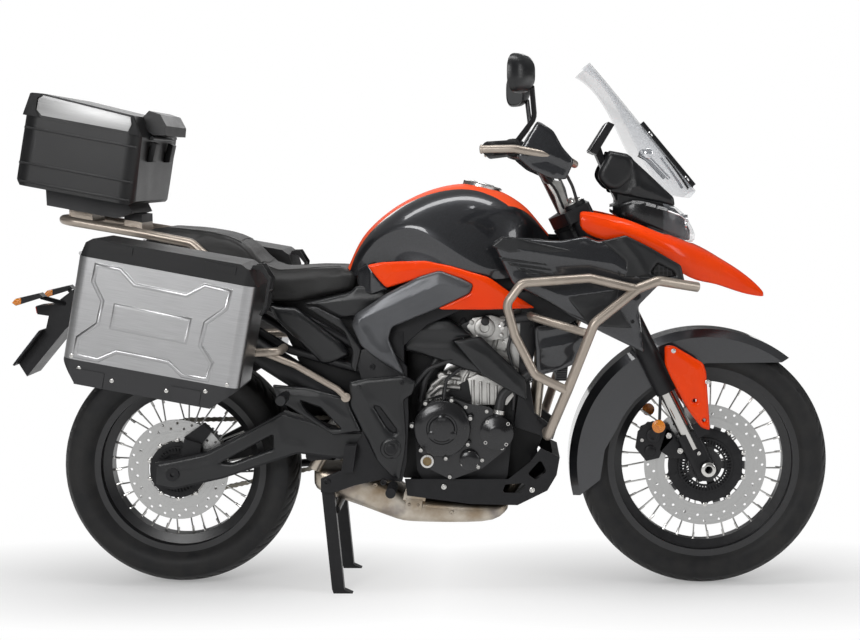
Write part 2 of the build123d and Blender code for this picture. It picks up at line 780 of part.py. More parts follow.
# ---------------------------------------------------------------- side cases
case_wall = 3
case_len = 427
case_seam = 251
case_bend = 28  # radius of the outer upright corners
emboss = 2.75  # height of each pressed step of the outer wall
hinge_out = 7  # hinge axis outside the end wall
knuckle_r = 5
case_face = overall_half_width - 2 * emboss
shell_outline = [
    (0, 0), (41, -54), (case_len - 58, -54), (case_len, 0), (case_len, case_seam), (0, case_seam),
]
lid_outline = [
    (4, case_seam), (case_len, case_seam), (case_len - 22, 290), (case_len - 42, 300), (30, 296), (14, 284),
]
cross_outline = [
    (50, 236), (107, 236), (144, 205), (270, 203), (310, 235), (370, 232), (367, 190), (325, 148),
    (321, 92), (355, 55), (350, 14), (291, 14), (254, 40), (128, 42), (87, 14), (33, 14), (33, 57),
    (75, 98), (77, 155), (48, 196),
]
latch_shape = [
    (-25, 289.5), (-23, 298), (-1, 303), (25, 274), (27, 205), (18, 180), (11, 182), (19, 207), (18, 270), (-3, 288),
]
latch_outline = [(case_len + u, v) for u, v in latch_shape]
case_plan = Plane(
    origin=(rear_axle_x + case_corner[0], -case_in, case_corner[1]),
    x_dir=(case_cos, 0, -case_sin),
    z_dir=(case_sin, 0, case_cos),
)
case_up = Axis((0, 0, 0), (case_sin, 0, case_cos))


def case_block(outline, lift=0.0):
    """The solid form of a right side case or its lid, its outer upright corners rounded."""
    with BuildPart() as block:
        with BuildSketch(case_side(-case_in)):
            with BuildLine():
                Polyline(*[(u, v + lift) for u, v in outline], close=True)
            make_face()
        extrude(amount=case_face - case_in)
        with BuildSketch(case_plan.offset(-100)):
            with Locations((case_len / 2, 0)):
                RectangleRounded(case_len, 2 * (case_face - case_in), case_bend)
        extrude(amount=500, mode=Mode.INTERSECT)
    return block.part


def knuckle(plane, axis_u, wall_u, seam, leaf, length):
    """A hinge barrel that runs out from a plane, with a leaf over or under the seam."""
    with BuildPart() as barrel:
        with BuildSketch(plane):
            with Locations((axis_u, seam)):
                Circle(knuckle_r)
            with BuildLine():
                Polyline(
                    (axis_u, seam + seat_gap / 2 * leaf), (wall_u, seam + seat_gap / 2 * leaf),
                    (wall_u, seam + 5 * leaf), (axis_u, seam + 5 * leaf), close=True,
                )
            make_face()
        extrude(amount=length)
    return barrel.part


with BuildPart() as side_cases:
    add(case_block(shell_outline))
    offset(amount=-case_wall, openings=side_cases.faces().sort_by(case_up)[-1])
    with BuildSketch(case_side(-case_face)):
        with BuildLine():
            Polyline(*cross_outline, close=True)
        make_face()
    extrude(amount=emboss, taper=45)
    with BuildSketch(case_side(-case_face - emboss)):
        with BuildLine():
            Polyline((109, 151), (288, 149), (286, 94), (108, 96), close=True)
        make_face()
    extrude(amount=emboss, taper=45)
    with BuildSketch(case_side(-case_face)):
        for left, right in ((34, 108), (270, 342)):
            with BuildLine():
                Polyline((left, -16), (right, -16), (right, -53.5), (left + 6, -53.5), close=True)
            make_face()
    extrude(amount=emboss)
    for y in (-270, -340):
        add(knuckle(case_side(y), -hinge_out, 1, case_seam, -1, 30))
    mirror(about=Plane.XZ)

with BuildPart() as right_lid:
    add(case_block(lid_outline, seat_gap))
    offset(amount=-case_wall, openings=right_lid.faces().sort_by(case_up)[0])
    with BuildSketch(case_side(-case_face)):
        for left, right in ((58, 128), (300, 376)):
            with BuildLine():
                Polyline((left, 275), (left, 292), (right, 292), (right, 275), close=True)
            make_face()
    extrude(amount=emboss)
    add(knuckle(case_side(-300 - seat_gap), -hinge_out, 7, case_seam, 1, 40 - 2 * seat_gap))
    for y in (-300, -360):
        with BuildSketch(case_side(y)):
            with BuildLine():
                Polyline(*latch_outline, close=True)
            make_face()
        extrude(amount=6)
    with BuildSketch(case_side(-300)):
        with Locations((case_len + 23, 240)):
            Circle(3.5)
    extrude(amount=66)

with BuildPart() as left_lid:
    add(mirror(right_lid.part, about=Plane.XZ))

# ---------------------------------------------------------------- top case
top_hinge_u = 301
top_seam = 158
top_bend = 40
top_length = 304
pad_half = 120
pad_outline = [(262, 196), (282, 226), (312, 222), (332, 196), (334, 172), (302, 167), (290, 172)]
top_plan = Plane(
    origin=(rear_axle_x + top_corner[0], 0, top_corner[1]),
    x_dir=(case_cos, 0, -case_sin),
    z_dir=(case_sin, 0, case_cos),
)


def top_block(outline, lift=0.0, inset=0.0):
    """The solid form of the top case or its lid, its upright corners rounded."""
    with BuildPart() as block:
        with BuildSketch(top_side(top_case_half - inset)):
            with BuildLine():
                Polyline(*[(u, v + lift) for u, v in outline], close=True)
            make_face()
            if inset:
                offset(amount=-inset, kind=Kind.INTERSECTION)
        extrude(amount=2 * (top_case_half - inset))
        with BuildSketch(top_plan.offset(-50)):
            with Locations((top_length / 2 - 4, 0)):
                RectangleRounded(top_length - 2 * inset, 2 * (top_case_half - inset), top_bend - inset)
        extrude(amount=350, mode=Mode.INTERSECT)
    return block.part


with BuildPart() as top_case:
    add(top_block(top_shell_outline))
    add(top_block(top_shell_outline, case_wall + 1, case_wall), mode=Mode.SUBTRACT)
    for y in (120, -60):
        add(knuckle(top_side(y), top_hinge_u, 292, top_seam, -1, 60))

with BuildPart() as top_lid:
    add(top_block(top_lid_outline, seat_gap))
    offset(amount=-case_wall, openings=top_lid.faces().sort_by(case_up)[0])
    add(knuckle(top_side(60 - seat_gap), top_hinge_u, 290, top_seam, 1, 120 - 2 * seat_gap))
    with BuildSketch(top_side(pad_half)):
        with BuildLine():
            Polyline(*pad_outline, close=True)
        make_face()
    extrude(amount=2 * pad_half)

# ---------------------------------------------------------------- crash bars
bar_r = 12.5
bar_route = [
    (968, -hanger_out - seat_gap, 424), (968, -185, 424), (1016, -250, 555), (1080, -262, 722),
    (1190, -246, 808), (1240, -234, 826), (1345, -180, 806),
]
with BuildPart() as crash_bars:
    add(bent_tube(bar_route, bar_r, 30))
    add(bent_tube([(1186, -248, 806), (1069, -257, 834), (900, -262, 822), (862, -262, 770), (884, -260, 690), (934, -256, 592), (1014, -250, 552)], bar_r - 1, 30))
    add(bent_tube([(925, -hanger_out - seat_gap, 730), (925, -170, 730), (1072, -258, 694)], bar_r - 2, 30))
    mirror(about=Plane.XZ)

# ---------------------------------------------------------------- foot controls
with BuildPart() as footpegs:
    add(rod((571, -plate_out - seat_gap, 290), (571, -250, 290), 13))
    mirror(about=Plane.XZ)
    add(plate([(440, 330), (470, 330), (480, 400), (450, 400)], 186, plate_out + seat_gap))

hanger_plate = [
    (263, 553), (357, 545), (440, 524), (460, 512), (460.6, 499), (493.8, 430), (418, 422), (303, 497), (277, 509),
]
hanger_window = [(334, 512), (386, 494), (419, 459), (437, 441), (410, 441), (350, 485)]
with BuildPart() as foot_hangers:
    with BuildSketch(side(-plate_out - seat_gap)):
        with BuildLine():
            Polyline(*hanger_plate, close=True)
        make_face()
        with BuildLine():
            Polyline(*hanger_window, close=True)
        make_face(mode=Mode.SUBTRACT)
    extrude(amount=8)
    add(rod((300, -plate_out - 4, 530), (300, -224, 530), 11))
    mirror(about=Plane.XZ)

# ---------------------------------------------------------------- chain
chain_inner_rear = rear_sprocket_r + chain_gap
chain_inner_front = front_sprocket_r
with BuildPart() as chain:
    with BuildSketch(side(chain_y + 7)):
        with BuildLine():
            Polyline(
                (0, rear_axle_z + chain_inner_rear + chain_h),
                (front_sprocket_x, front_sprocket_z + chain_inner_front + chain_h),
                (front_sprocket_x, front_sprocket_z - chain_inner_front - chain_h),
                (0, rear_axle_z - chain_inner_rear - chain_h),
                close=True,
            )
        make_face()
        with Locations((0, rear_axle_z)):
            Circle(chain_inner_rear + chain_h)
        with Locations((front_sprocket_x, front_sprocket_z)):
            Circle(chain_inner_front + chain_h)
        with BuildLine():
            Polyline(
                (0, rear_axle_z + chain_inner_rear),
                (front_sprocket_x, front_sprocket_z + chain_inner_front),
                (front_sprocket_x, front_sprocket_z - chain_inner_front),
                (0, rear_axle_z - chain_inner_rear),
                close=True,
            )
        make_face(mode=Mode.SUBTRACT)
        with Locations((0, rear_axle_z)):
            Circle(chain_inner_rear, mode=Mode.SUBTRACT)
        with Locations((front_sprocket_x, front_sprocket_z)):
            Circle(chain_inner_front, mode=Mode.SUBTRACT)
    extrude(amount=14)
    with BuildSketch(side(chain_y + 4)):
        with Locations((front_sprocket_x, front_sprocket_z)):
            Circle(chain_inner_front)
    extrude(amount=8)

# ---------------------------------------------------------------- tail and number plate
plate_top = (-350, 686)
plate_bottom = (-422, 596)
tail_outline = [
    (-60, 830), (-120, 857 - 10 - seat_gap), (-140, 857 - 10 - seat_gap), (-240, 812), (-330, 745), (-345.6, 682.6),
    (-417.6, 592.6), (-398, 560), (-294, 684), (-200, 766),
]
with BuildPart() as tail_unit:
    add(plate(tail_outline, 60, -60))
    add(plate([plate_top, (-346, 683), (-418, 593), plate_bottom], 100, -100))
    add(plate([(-377, 744), (-328, 748), (-334, 716), (-374, 722)], 34, -34))
    for lamp_side in (-1, 1):
        add(rod((-290, lamp_side * 50, 750), (-334, lamp_side * 124, 775), 6))
        with BuildSketch(side(lamp_side * 134 + 17)):
            with BuildLine():
                Polyline((-402, 762), (-392, 773), (-332, 787), (-322, 777), (-360, 765), (-392, 755), close=True)
            make_face()
        extrude(amount=34)

# ---------------------------------------------------------------- rear brake caliper
with BuildPart() as rear_caliper:
    add(plate([(20, 405), (70, 440), (92, 420), (60, 378)], 98, 66))
    add(plate([(10, 338), (64, 350), (66, 390), (24, 404)], arm_in - seat_gap, 92))
    with BuildSketch(side(-(abs(rear_disc_y) - 5))):
        with Locations((0, rear_axle_z)):
            Circle(135)
    extrude(amount=10, mode=Mode.SUBTRACT)

# ---------------------------------------------------------------- fork
clamp_low = 522
clamp_high = 726
outer_low = 225
outer_r = 28
inner_r = 20.5
with BuildPart() as fork:
    for leg in (-1, 1):
        with BuildSketch(fork_plane.offset(outer_low)):
            with Locations((-axle_lead, leg * leg_y)):
                Circle(outer_r)
        extrude(amount=545)
    for height, thick in ((clamp_low, 36), (clamp_high, 32)):
        with BuildSketch(fork_plane.offset(height)):
            with BuildLine():
                FilletPolyline(
                    (28, -leg_y - 34), (28, leg_y + 34), (-42, leg_y + 34), (-steer_back - 30, 26),
                    (-steer_back - 30, -26), (-42, -leg_y - 34), radius=12, close=True,
                )
            make_face()
        extrude(amount=thick)
    with BuildSketch(fork_plane.offset(clamp_low)):
        with Locations((-steer_back, 0)):
            Circle(stem_r)
    extrude(amount=clamp_high - clamp_low + 10)

with BuildPart() as fork_tubes:
    for leg in (-1, 1):
        with BuildSketch(fork_plane.offset(60)):
            with Locations((-axle_lead, leg * leg_y)):
                Circle(inner_r)
        extrude(amount=outer_low - 60 - seat_gap)

with BuildPart() as fork_feet:
    for leg in (-1, 1):
        with BuildSketch(fork_plane.offset(-24)):
            with Locations((-axle_lead, leg * leg_y)):
                RectangleRounded(58, 40, 12)
        extrude(amount=130)
    with BuildSketch(fork_plane.offset(60)):
        for leg in (-1, 1):
            with Locations((-axle_lead, leg * leg_y)):
                Circle(inner_r + seat_gap)
    extrude(amount=60, mode=Mode.SUBTRACT)
    for leg in (-1, 1):
        with BuildSketch(fork_plane.offset(84)):
            with Locations((28, leg * 128.7)):
                Rectangle(34, 10)
        extrude(amount=38)
        with BuildSketch(fork_plane.offset(84)):
            with Locations((21, leg * 122)):
                Rectangle(10, 22)
        extrude(amount=22)
    with BuildSketch(wheel_plane(front_axle_at, leg_y)):
        Circle(axle_r)
    extrude(amount=2 * leg_y)
    with BuildSketch(wheel_plane(front_axle_at, leg_y + 30)):
        Circle(axle_bore)
    extrude(amount=2 * leg_y + 60, mode=Mode.SUBTRACT)

# ---------------------------------------------------------------- handlebar with its controls
grip_r = 14
bar_half = [(970, 80, 1078), (938, 180, 1136), (874, 290, 1156), (818, 408, 1150)]
bar_line = [(x, -y, z) for x, y, z in reversed(bar_half)] + bar_half
with BuildPart() as handlebar:
    with BuildSketch(fork_plane.offset(clamp_high + 32 + seat_gap)):
        with Locations((-38, -40), (-38, 40)):
            Circle(15)
    extrude(amount=100)
    add(bent_tube(bar_line, grip_r, 40))
    for hand in (-1, 1):
        add(rod((930, hand * 196, 1137), (948, hand * 208, 1130), 13))
        add(bent_tube([(948, hand * 204, 1130), (938, hand * 290, 1138), (892, hand * 392, 1140)], 5.5, 60))

shield_outline = [(884, 1132), (934, 1219), (972, 1193), (994, 1153), (1022, 1122), (1002, 1076), (965, 1081), (922, 1100)]
with BuildPart() as hand_guards:
    add(bent_tube([(806, -412, 1149), (880, -420, 1150), (1000, -400, 1128), (1028, -330, 1114)], 9.5, 30))
    with BuildSketch(side(-416)):
        with BuildLine():
            Polyline(*shield_outline, close=True)
        make_face()
    extrude(amount=6)
    with BuildSketch(side(-322)):
        with BuildLine():
            Polyline((972, 1193), (994, 1153), (1022, 1122), (1002, 1076), (996, 1078), (1014, 1121), (988, 1150), (967, 1189), close=True)
        make_face()
    extrude(amount=96)
    mirror(about=Plane.XZ)
    add(bent_tube(bar_line, grip_r + seat_gap, 40), mode=Mode.SUBTRACT)

# ---------------------------------------------------------------- mirrors
with BuildPart() as mirrors:
    add(bent_tube([(880, -270, 1160), (930, -300, 1225), (917, -360, 1300)], 7, 30))
    with BuildSketch(Plane(origin=(rear_axle_x + 886, -383, 1328), z_dir=(cos(radians(25)), -sin(radians(25)), 0), x_dir=(sin(radians(25)), cos(radians(25)), 0))):
        RectangleRounded(120, 94, 30)
    extrude(amount=36, taper=24)
    mirror(about=Plane.XZ)
    add(bent_tube(bar_line, grip_r + seat_gap, 40), mode=Mode.SUBTRACT)

# ---------------------------------------------------------------- front mudguard
fender_r = 356
fender_in = 343
fender_half = 68
fender_mask = [(1612, 612), (1582, 600), (1386, 598), (1300, 575), (1200, 500), (1174, 461), (1122, 368), (1110, 288), (1057, 246), (1030, 240), (1000, 236), (1000, 760), (1640, 760)]
with BuildPart() as front_fender:
    with BuildSketch(Plane(front_axle_at, x_dir=(0, 1, 0), z_dir=(1, 0, 0))):
        with BuildLine():
            Polyline((-fender_half, 250), (-fender_half, fender_r - 20), (-fender_half + 22, fender_r), (fender_half - 22, fender_r), (fender_half, fender_r - 20), (fender_half, 250),
                     (fender_half - 6, 250), (fender_half - 6, fender_in - 16), (fender_half - 24, fender_in), (-fender_half + 24, fender_in), (-fender_half + 6, fender_in - 16), (-fender_half + 6, 250), close=True)
        make_face()
    revolve(axis=Axis(front_axle_at, (0, 1, 0)))
    with BuildSketch(side(fender_half + 10)):
        with BuildLine():
            Polyline(*fender_mask, close=True)
        make_face()
    extrude(amount=2 * fender_half + 20, mode=Mode.INTERSECT)
    for leg in (-1, 1):
        with BuildSketch(fork_plane.offset(272)):
            with Locations((-axle_lead, leg * (leg_y - outer_r - seat_gap - 6))):
                Rectangle(24, 12)
        extrude(amount=26)

panel_outline = [
    (1268, 652), (1290, 653), (1368, 607), (1376, 584), (1388, 432), (1364, 440), (1330, 486),
    (1288, 563), (1270, 602),
]
with BuildPart() as fork_panels:
    add(plate(panel_outline, 148, 134))
    with BuildSketch(side(150)):
        with Locations((1347, 510), (1372, 459)):
            Circle(7)
    extrude(amount=20, mode=Mode.SUBTRACT)
    mirror(about=Plane.XZ)

# ---------------------------------------------------------------- front brake caliper
with BuildPart() as front_caliper:
    add(plate([(1200, 380), (1214, 430), (1250, 448), (1292, 440), (1300, 400), (1262, 356), (1226, 344)], 98, 54))
    add(plate([(1280, 432), (1299.8, 419.4), (1334.6, 349.6), (1290, 350), (1256, 370)], 98, 84))
    with BuildSketch(side(-(abs(front_disc_y) - 5))):
        with Locations((wheelbase, front_axle_z)):
            Circle(163)
    extrude(amount=10, mode=Mode.SUBTRACT)

# ---------------------------------------------------------------- stands
stand_in = 114
stand_out = 138
with BuildPart() as centre_stand:
    with BuildSketch(side(-stand_in)):
        with BuildLine():
            Polyline(
                (stand_x - 16, stand_z), (stand_x + 16, stand_z), (440, 10), (462, 0), (412, 0),
                (408, 12), close=True,
            )
        make_face()
        with Locations((stand_x, stand_z)):
            Circle(16)
    extrude(amount=stand_out - stand_in)
    with BuildSketch(side(-stand_in + 10)):
        with Locations((stand_x, stand_z)):
            Circle(stand_pin_r + running_gap)
    extrude(amount=60, mode=Mode.SUBTRACT)
    mirror(about=Plane.XZ)
    add(rod((418, -stand_in - 2, 218), (418, stand_in + 2, 218), 11))

with BuildPart() as side_stand:
    add(rod(side_pivot + side_axis * 9, side_pivot - side_axis * 9, 17))
    add(rod(side_pivot, (240, 178, 280), 11))
    with BuildSketch(Plane(bike.from_local_coords((240, 178, 280)), z_dir=(-1, 0, 0), x_dir=(0, 1, 0))):
        RectangleRounded(38, 56, 8)
    extrude(amount=8)
    add(rod(side_pivot + side_axis * 12, side_pivot - side_axis * 12, stand_pin_r + running_gap), mode=Mode.SUBTRACT)

# ---------------------------------------------------------------- output
nodes = {
    "front_tyre": front_tyre, "rear_tyre": rear_tyre, "front_wire_wheel": front_wire_wheel,
    "rear_wire_wheel": rear_wire_wheel, "front_disc": front_disc, "rear_disc": rear_disc,
    "rear_sprocket": rear_sprocket, "swingarm": swingarm, "main_frame": main_frame, "subframe": subframe,
    "engine_block": engine_block, "engine_covers": engine_covers, "cylinder": cylinder,
    "skid_plate": skid_plate, "exhaust": exhaust, "radiator": radiator, "tank": tank,
    "side_bands": side_bands, "side_covers": side_covers, "fairing": fairing, "beak": beak,
    "headlight": headlight, "headlight_lens": headlight_lens, "windscreen": windscreen,
    "display": display, "seat": seat, "rear_rack": rear_rack, "side_cases": side_cases,
    "right_lid": right_lid, "left_lid": left_lid, "top_case": top_case, "top_lid": top_lid,
    "crash_bars": crash_bars, "footpegs": footpegs, "chain": chain, "tail_unit": tail_unit,
    "rear_caliper": rear_caliper, "seat_panels": seat_panels, "rear_shock": rear_shock,
    "foot_hangers": foot_hangers,
    "fork": fork, "fork_tubes": fork_tubes, "fork_feet": fork_feet, "handlebar": handlebar,
    "hand_guards": hand_guards, "mirrors": mirrors, "front_fender": front_fender,
    "fork_panels": fork_panels, "front_caliper": front_caliper, "centre_stand": centre_stand,
    "side_stand": side_stand,
}
os.makedirs("parts", exist_ok=True)
for node, piece in nodes.items():
    piece.part.label = node
    export_step(piece.part, f"parts/{node}.step")
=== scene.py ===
import math

import bmesh
import bpy
import numpy as np
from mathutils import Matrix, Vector
from mathutils.geometry import delaunay_2d_cdt


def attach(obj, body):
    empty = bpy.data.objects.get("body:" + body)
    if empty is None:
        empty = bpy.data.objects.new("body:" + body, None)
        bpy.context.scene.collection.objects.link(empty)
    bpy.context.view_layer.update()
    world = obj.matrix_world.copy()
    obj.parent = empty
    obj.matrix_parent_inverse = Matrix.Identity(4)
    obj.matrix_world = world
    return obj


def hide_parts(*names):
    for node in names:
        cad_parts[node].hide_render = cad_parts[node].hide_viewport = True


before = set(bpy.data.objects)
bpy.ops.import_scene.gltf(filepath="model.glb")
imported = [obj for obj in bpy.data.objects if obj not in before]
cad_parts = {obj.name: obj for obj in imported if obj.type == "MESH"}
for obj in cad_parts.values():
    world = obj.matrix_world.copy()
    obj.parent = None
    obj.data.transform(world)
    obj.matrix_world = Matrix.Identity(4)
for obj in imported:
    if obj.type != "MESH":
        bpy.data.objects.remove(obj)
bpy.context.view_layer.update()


# ---------------------------------------------------------------- camera, floor and light
# A studio sweep: a pale floor with soft light from overhead and both sides.
# Lengthwise distances are counted in millimetres from the rear axle, as in the workshop drawing.
REAR_AXLE = -641.5


def at(x, y, z):
    """A point given from the rear axle, the middle plane and the ground, in metres."""
    return Vector(((REAR_AXLE + x) / 1000, y / 1000, z / 1000))


class Value:
    """The output of a shader node, or a plain number; arithmetic on it adds Math nodes."""

    def __init__(self, tree, socket):
        self.tree = tree
        self.socket = socket

    def math(self, operation, *others):
        node = self.tree.nodes.new("ShaderNodeMath")
        node.operation = operation
        for index, item in enumerate((self,) + others):
            if isinstance(item, Value):
                self.tree.links.new(item.socket, node.inputs[index])
            else:
                node.inputs[index].default_value = item
        return Value(self.tree, node.outputs[0])

    def __add__(self, other):
        return self.math("ADD", other)

    def __mul__(self, other):
        return self.math("MULTIPLY", other)

    def __sub__(self, other):
        return self.math("SUBTRACT", other)

    def __rsub__(self, other):
        return self.math("MULTIPLY_ADD", -1.0, other)

    def __abs__(self):
        return self.math("ABSOLUTE")

    def __gt__(self, other):
        return self.math("GREATER_THAN", other)

    def __lt__(self, other):
        return self.math("LESS_THAN", other)

    def step(self, low, high):
        """0 below low, 1 above high, and a straight ramp between."""
        node = self.tree.nodes.new("ShaderNodeMapRange")
        self.tree.links.new(self.socket, node.inputs[0])
        node.inputs[1].default_value = low
        node.inputs[2].default_value = high
        return Value(self.tree, node.outputs[0])


class Finish:
    """A procedural material on one Principled shader."""

    def __init__(self, name, color, rough=0.5, metal=0.0, slot=None, **fixed):
        self.slot = slot
        self.material = bpy.data.materials.new(name)
        self.material.use_nodes = True
        self.tree = self.material.node_tree
        self.shader = self.tree.nodes["Principled BSDF"]
        self.shader.inputs["Base Color"].default_value = (*color, 1)
        self.shader.inputs["Roughness"].default_value = rough
        self.shader.inputs["Metallic"].default_value = metal
        for socket, value in fixed.items():
            self.shader.inputs[socket.replace("_", " ")].default_value = value

    def node(self, kind, settings=None, out=0, **values):
        """Adds a node: its settings first, then the values or links of its sockets."""
        node = self.tree.nodes.new(kind)
        for key, value in (settings or {}).items():
            setattr(node, key, value)
        for key, value in values.items():
            socket = node.inputs[int(key[1:])] if key[0] == "i" and key[1:].isdigit() else node.inputs[key]
            if isinstance(value, Value):
                self.tree.links.new(value.socket, socket)
            else:
                socket.default_value = value
        return Value(self.tree, node.outputs[out])

    def place(self):
        """The surface point's x, y and z in the machine's own frame, in metres."""
        split = self.node("ShaderNodeSeparateXYZ", i0=self.node("ShaderNodeTexCoord", out=3))
        return [Value(self.tree, output) for output in split.socket.node.outputs]

    def radius(self, axle):
        """The distance from a wheel's axle, in metres."""
        x, _, z = self.place()
        dx = x - (REAR_AXLE + axle.x) / 1000
        dz = z - axle.z / 1000
        return (dx * dx + dz * dz).math("SQRT")

    def speckle(self, size, detail=3.0, stretch=(1, 1, 1)):
        """Cloudy noise of one grain size in metres, 0 to 1, stretched along the axes."""
        point = self.node("ShaderNodeTexCoord", out=3)
        point = self.node("ShaderNodeMapping", i0=point, i3=Vector(stretch) / size)
        return self.node("ShaderNodeTexNoise", i0=point, Scale=1.0, Detail=detail)

    def cells(self, scale, feature="SMOOTH_F1", **values):
        """Pebbles or cells of one size, scale of them to the metre."""
        point = self.node("ShaderNodeTexCoord", out=3)
        return self.node("ShaderNodeTexVoronoi", {"feature": feature}, i0=point, Scale=scale, **values)

    def blend(self, mask, first, second):
        """A colour that goes from the first to the second with the mask."""
        values = {}
        for key, color in (("i6", first), ("i7", second)):
            values[key] = color if isinstance(color, Value) else (*color, 1)
        return self.node("ShaderNodeMix", {"data_type": "RGBA"}, out=2, i0=mask, **values)

    def bump(self, height, depth):
        """Raises the surface by up to depth metres, by a mask or a speckle of a size and detail."""
        height = height if isinstance(height, Value) else self.speckle(*height)
        self.put("Normal", self.node("ShaderNodeBump", Height=height, Distance=depth, Strength=1.0))

    def mottle(self, mask, first, second, span, base):
        """Colour and roughness that drift with one mask, or with a speckle of a size and detail."""
        mask = mask if isinstance(mask, Value) else self.speckle(*mask)
        self.put("Base Color", self.blend(mask, first, second))
        self.put("Roughness", mask * span + base)

    def put(self, socket, value):
        """Feeds a socket of the shader."""
        self.tree.links.new(value.socket, self.shader.inputs[socket])


CAMERA_RAY, GLOSSY_RAY, TRANSMISSION_RAY = 0, 3, 6  # outputs of the light path node


def seen_by(tree, other):
    """1 for the camera's rays and one other kind of ray, 0 for the rest."""
    rays = tree.nodes.new("ShaderNodeLightPath").outputs
    return (Value(tree, rays[CAMERA_RAY]) + Value(tree, rays[other])).math("MINIMUM", 1.0)


PICTURE_WIDTH = 860  # the focal length and the shifts are counted in this many steps across
SENSOR_WIDTH = 36
LOOK_DOWN, LOOK_ASIDE = 5.471, 0.4114
camera = bpy.data.objects.new("camera", bpy.data.cameras.new("camera"))
camera.location = (0.2123, -3.9578, 1.0961)
camera.rotation_euler = (math.radians(90 - LOOK_DOWN), 0, math.radians(LOOK_ASIDE))
camera.data.lens = 1497.88 / PICTURE_WIDTH * SENSOR_WIDTH
camera.data.shift_x = -62.28 / PICTURE_WIDTH
camera.data.shift_y = -4.78 / PICTURE_WIDTH
bpy.context.scene.collection.objects.link(camera)
bpy.context.scene.camera = camera
bpy.context.scene.view_settings.view_transform = "Standard"

REACH = 30  # metres from the middle of the floor to each edge
floor_mesh = bpy.data.meshes.new("floor")
corners = [(-REACH, -REACH, 0), (REACH, -REACH, 0), (REACH, REACH, 0), (-REACH, REACH, 0)]
floor_mesh.from_pydata(corners, [], [(0, 1, 2, 3)])
floor = bpy.data.objects.new("floor", floor_mesh)
bpy.context.scene.collection.objects.link(floor)
floor_finish = Finish("pale_floor", (0.82, 0.82, 0.82), 0.9)
# The floor shades to pure white away from the two wheels, so only their soft shadows show.
MIDDLE, TO_WHEELS = 0.05, 0.69
x, y, _ = floor_finish.place()
beside = abs(x - MIDDLE) - TO_WHEELS
away = (beside * beside * 0.5 + y * y * 2.5).math("SQRT").step(0.02, 0.75)
white = floor_finish.node("ShaderNodeEmission", Color=(1, 1, 1, 1), Strength=1.0)
share = seen_by(floor_finish.tree, GLOSSY_RAY) * (away * 0.7 + 0.3)
mixed = floor_finish.node("ShaderNodeMixShader", Fac=share)
link = floor_finish.tree.links.new
link(floor_finish.shader.outputs[0], mixed.socket.node.inputs[1])
link(white.socket, mixed.socket.node.inputs[2])
link(mixed.socket, floor_finish.tree.nodes["Material Output"].inputs[0])
floor_mesh.materials.append(floor_finish.material)

world = bpy.data.worlds.new("studio")
world.use_nodes = True
bpy.context.scene.world = world
sky = world.node_tree
shown = seen_by(sky, TRANSMISSION_RAY)
direction = sky.nodes.new("ShaderNodeTexCoord")
parts = sky.nodes.new("ShaderNodeSeparateXYZ")
sky.links.new(direction.outputs[0], parts.inputs[0])
glow = Value(sky, parts.outputs[2]).step(-0.1, 0.8) * 0.26 + 0.03
sky.links.new((shown + (1 - shown) * glow).socket, sky.nodes["Background"].inputs[1])
sky.nodes["Background"].inputs[0].default_value = (1, 1, 1, 1)

for name, place, aim, size, power in (
    ("overhead", (0.0, -0.5, 3.2), (0, 0, 0.4), (3.0, 0.6), 44),
    ("near_side", (-1.4, -3.6, 2.0), (0, 0, 0.5), (1.6, 1.2), 58),
    ("front", (3.6, -1.6, 1.8), (0.4, 0, 0.6), (0.9, 1.6), 22),
    ("far_side", (-0.4, 3.6, 2.4), (0, 0, 0.6), (3.0, 1.0), 24),
):
    lamp = bpy.data.lights.new(name, "AREA")
    lamp.shape = "RECTANGLE"
    lamp.size, lamp.size_y = size
    lamp.energy = power
    light = bpy.data.objects.new(name, lamp)
    light.location = place
    light.rotation_euler = (Vector(aim) - Vector(place)).to_track_quat("-Z", "Y").to_euler()
    bpy.context.scene.collection.objects.link(light)


# ---------------------------------------------------------------- tyres
# Tubeless radial tyres: black rubber vulcanised over cord, with a round crown cut by slanted
# sipes that run out at the shoulders. The beads sit on the rims' flanges.
WHEELBASE = 1385.0
FRONT_AXLE = Vector((WHEELBASE, 0, 330))
REAR_HUB = Vector((0, 0, 316.5))
WELD = 0.01  # millimetres within which points are one
CORNER_ANGLE = 0.6  # radians between two faces, above which their edge is bevelled


def put_up(name, part, finish, body, nodes=(), sharp=40, bevel=0.0, levels=0):
    """Makes a part, a pair of points in millimetres and faces, into a piece on one body."""
    points, faces = part
    mesh = bpy.data.meshes.new(name)
    mesh.from_pydata([at(*p) for p in points], [], faces)
    work = bmesh.new()
    work.from_mesh(mesh)
    bmesh.ops.remove_doubles(work, verts=work.verts, dist=WELD / 1000)
    bmesh.ops.recalc_face_normals(work, faces=work.faces)
    if bevel:
        edges = [e for e in work.edges if len(e.link_faces) == 2 and e.calc_face_angle(0) > CORNER_ANGLE]
        settings = {"segments": 2, "profile": 0.6, "affect": "EDGES", "clamp_overlap": True}
        bmesh.ops.bevel(work, geom=edges, offset=bevel / 1000, **settings)
    work.to_mesh(mesh)
    work.free()
    mesh.shade_smooth()
    mesh.set_sharp_from_angle(angle=math.radians(sharp))
    mesh.materials.append(finish.material)
    piece = bpy.data.objects.new(name, mesh)
    bpy.context.scene.collection.objects.link(piece)
    if levels:
        rounding = piece.modifiers.new("rounding", "SUBSURF")
        rounding.levels = rounding.render_levels = levels
    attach(piece, body)
    if nodes:
        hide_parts(*nodes)
    return piece


def dress(finish, *nodes):
    """Gives carried-over pieces their finish."""
    for name in nodes:
        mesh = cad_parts[name].data
        mesh.materials.clear()
        mesh.materials.append(finish.material)


def together(*parts):
    """Several parts as one."""
    points, faces = [], []
    for some_points, some_faces in parts:
        start = len(points)
        points.extend(some_points)
        faces.extend([[start + i for i in face] for face in some_faces])
    return points, faces


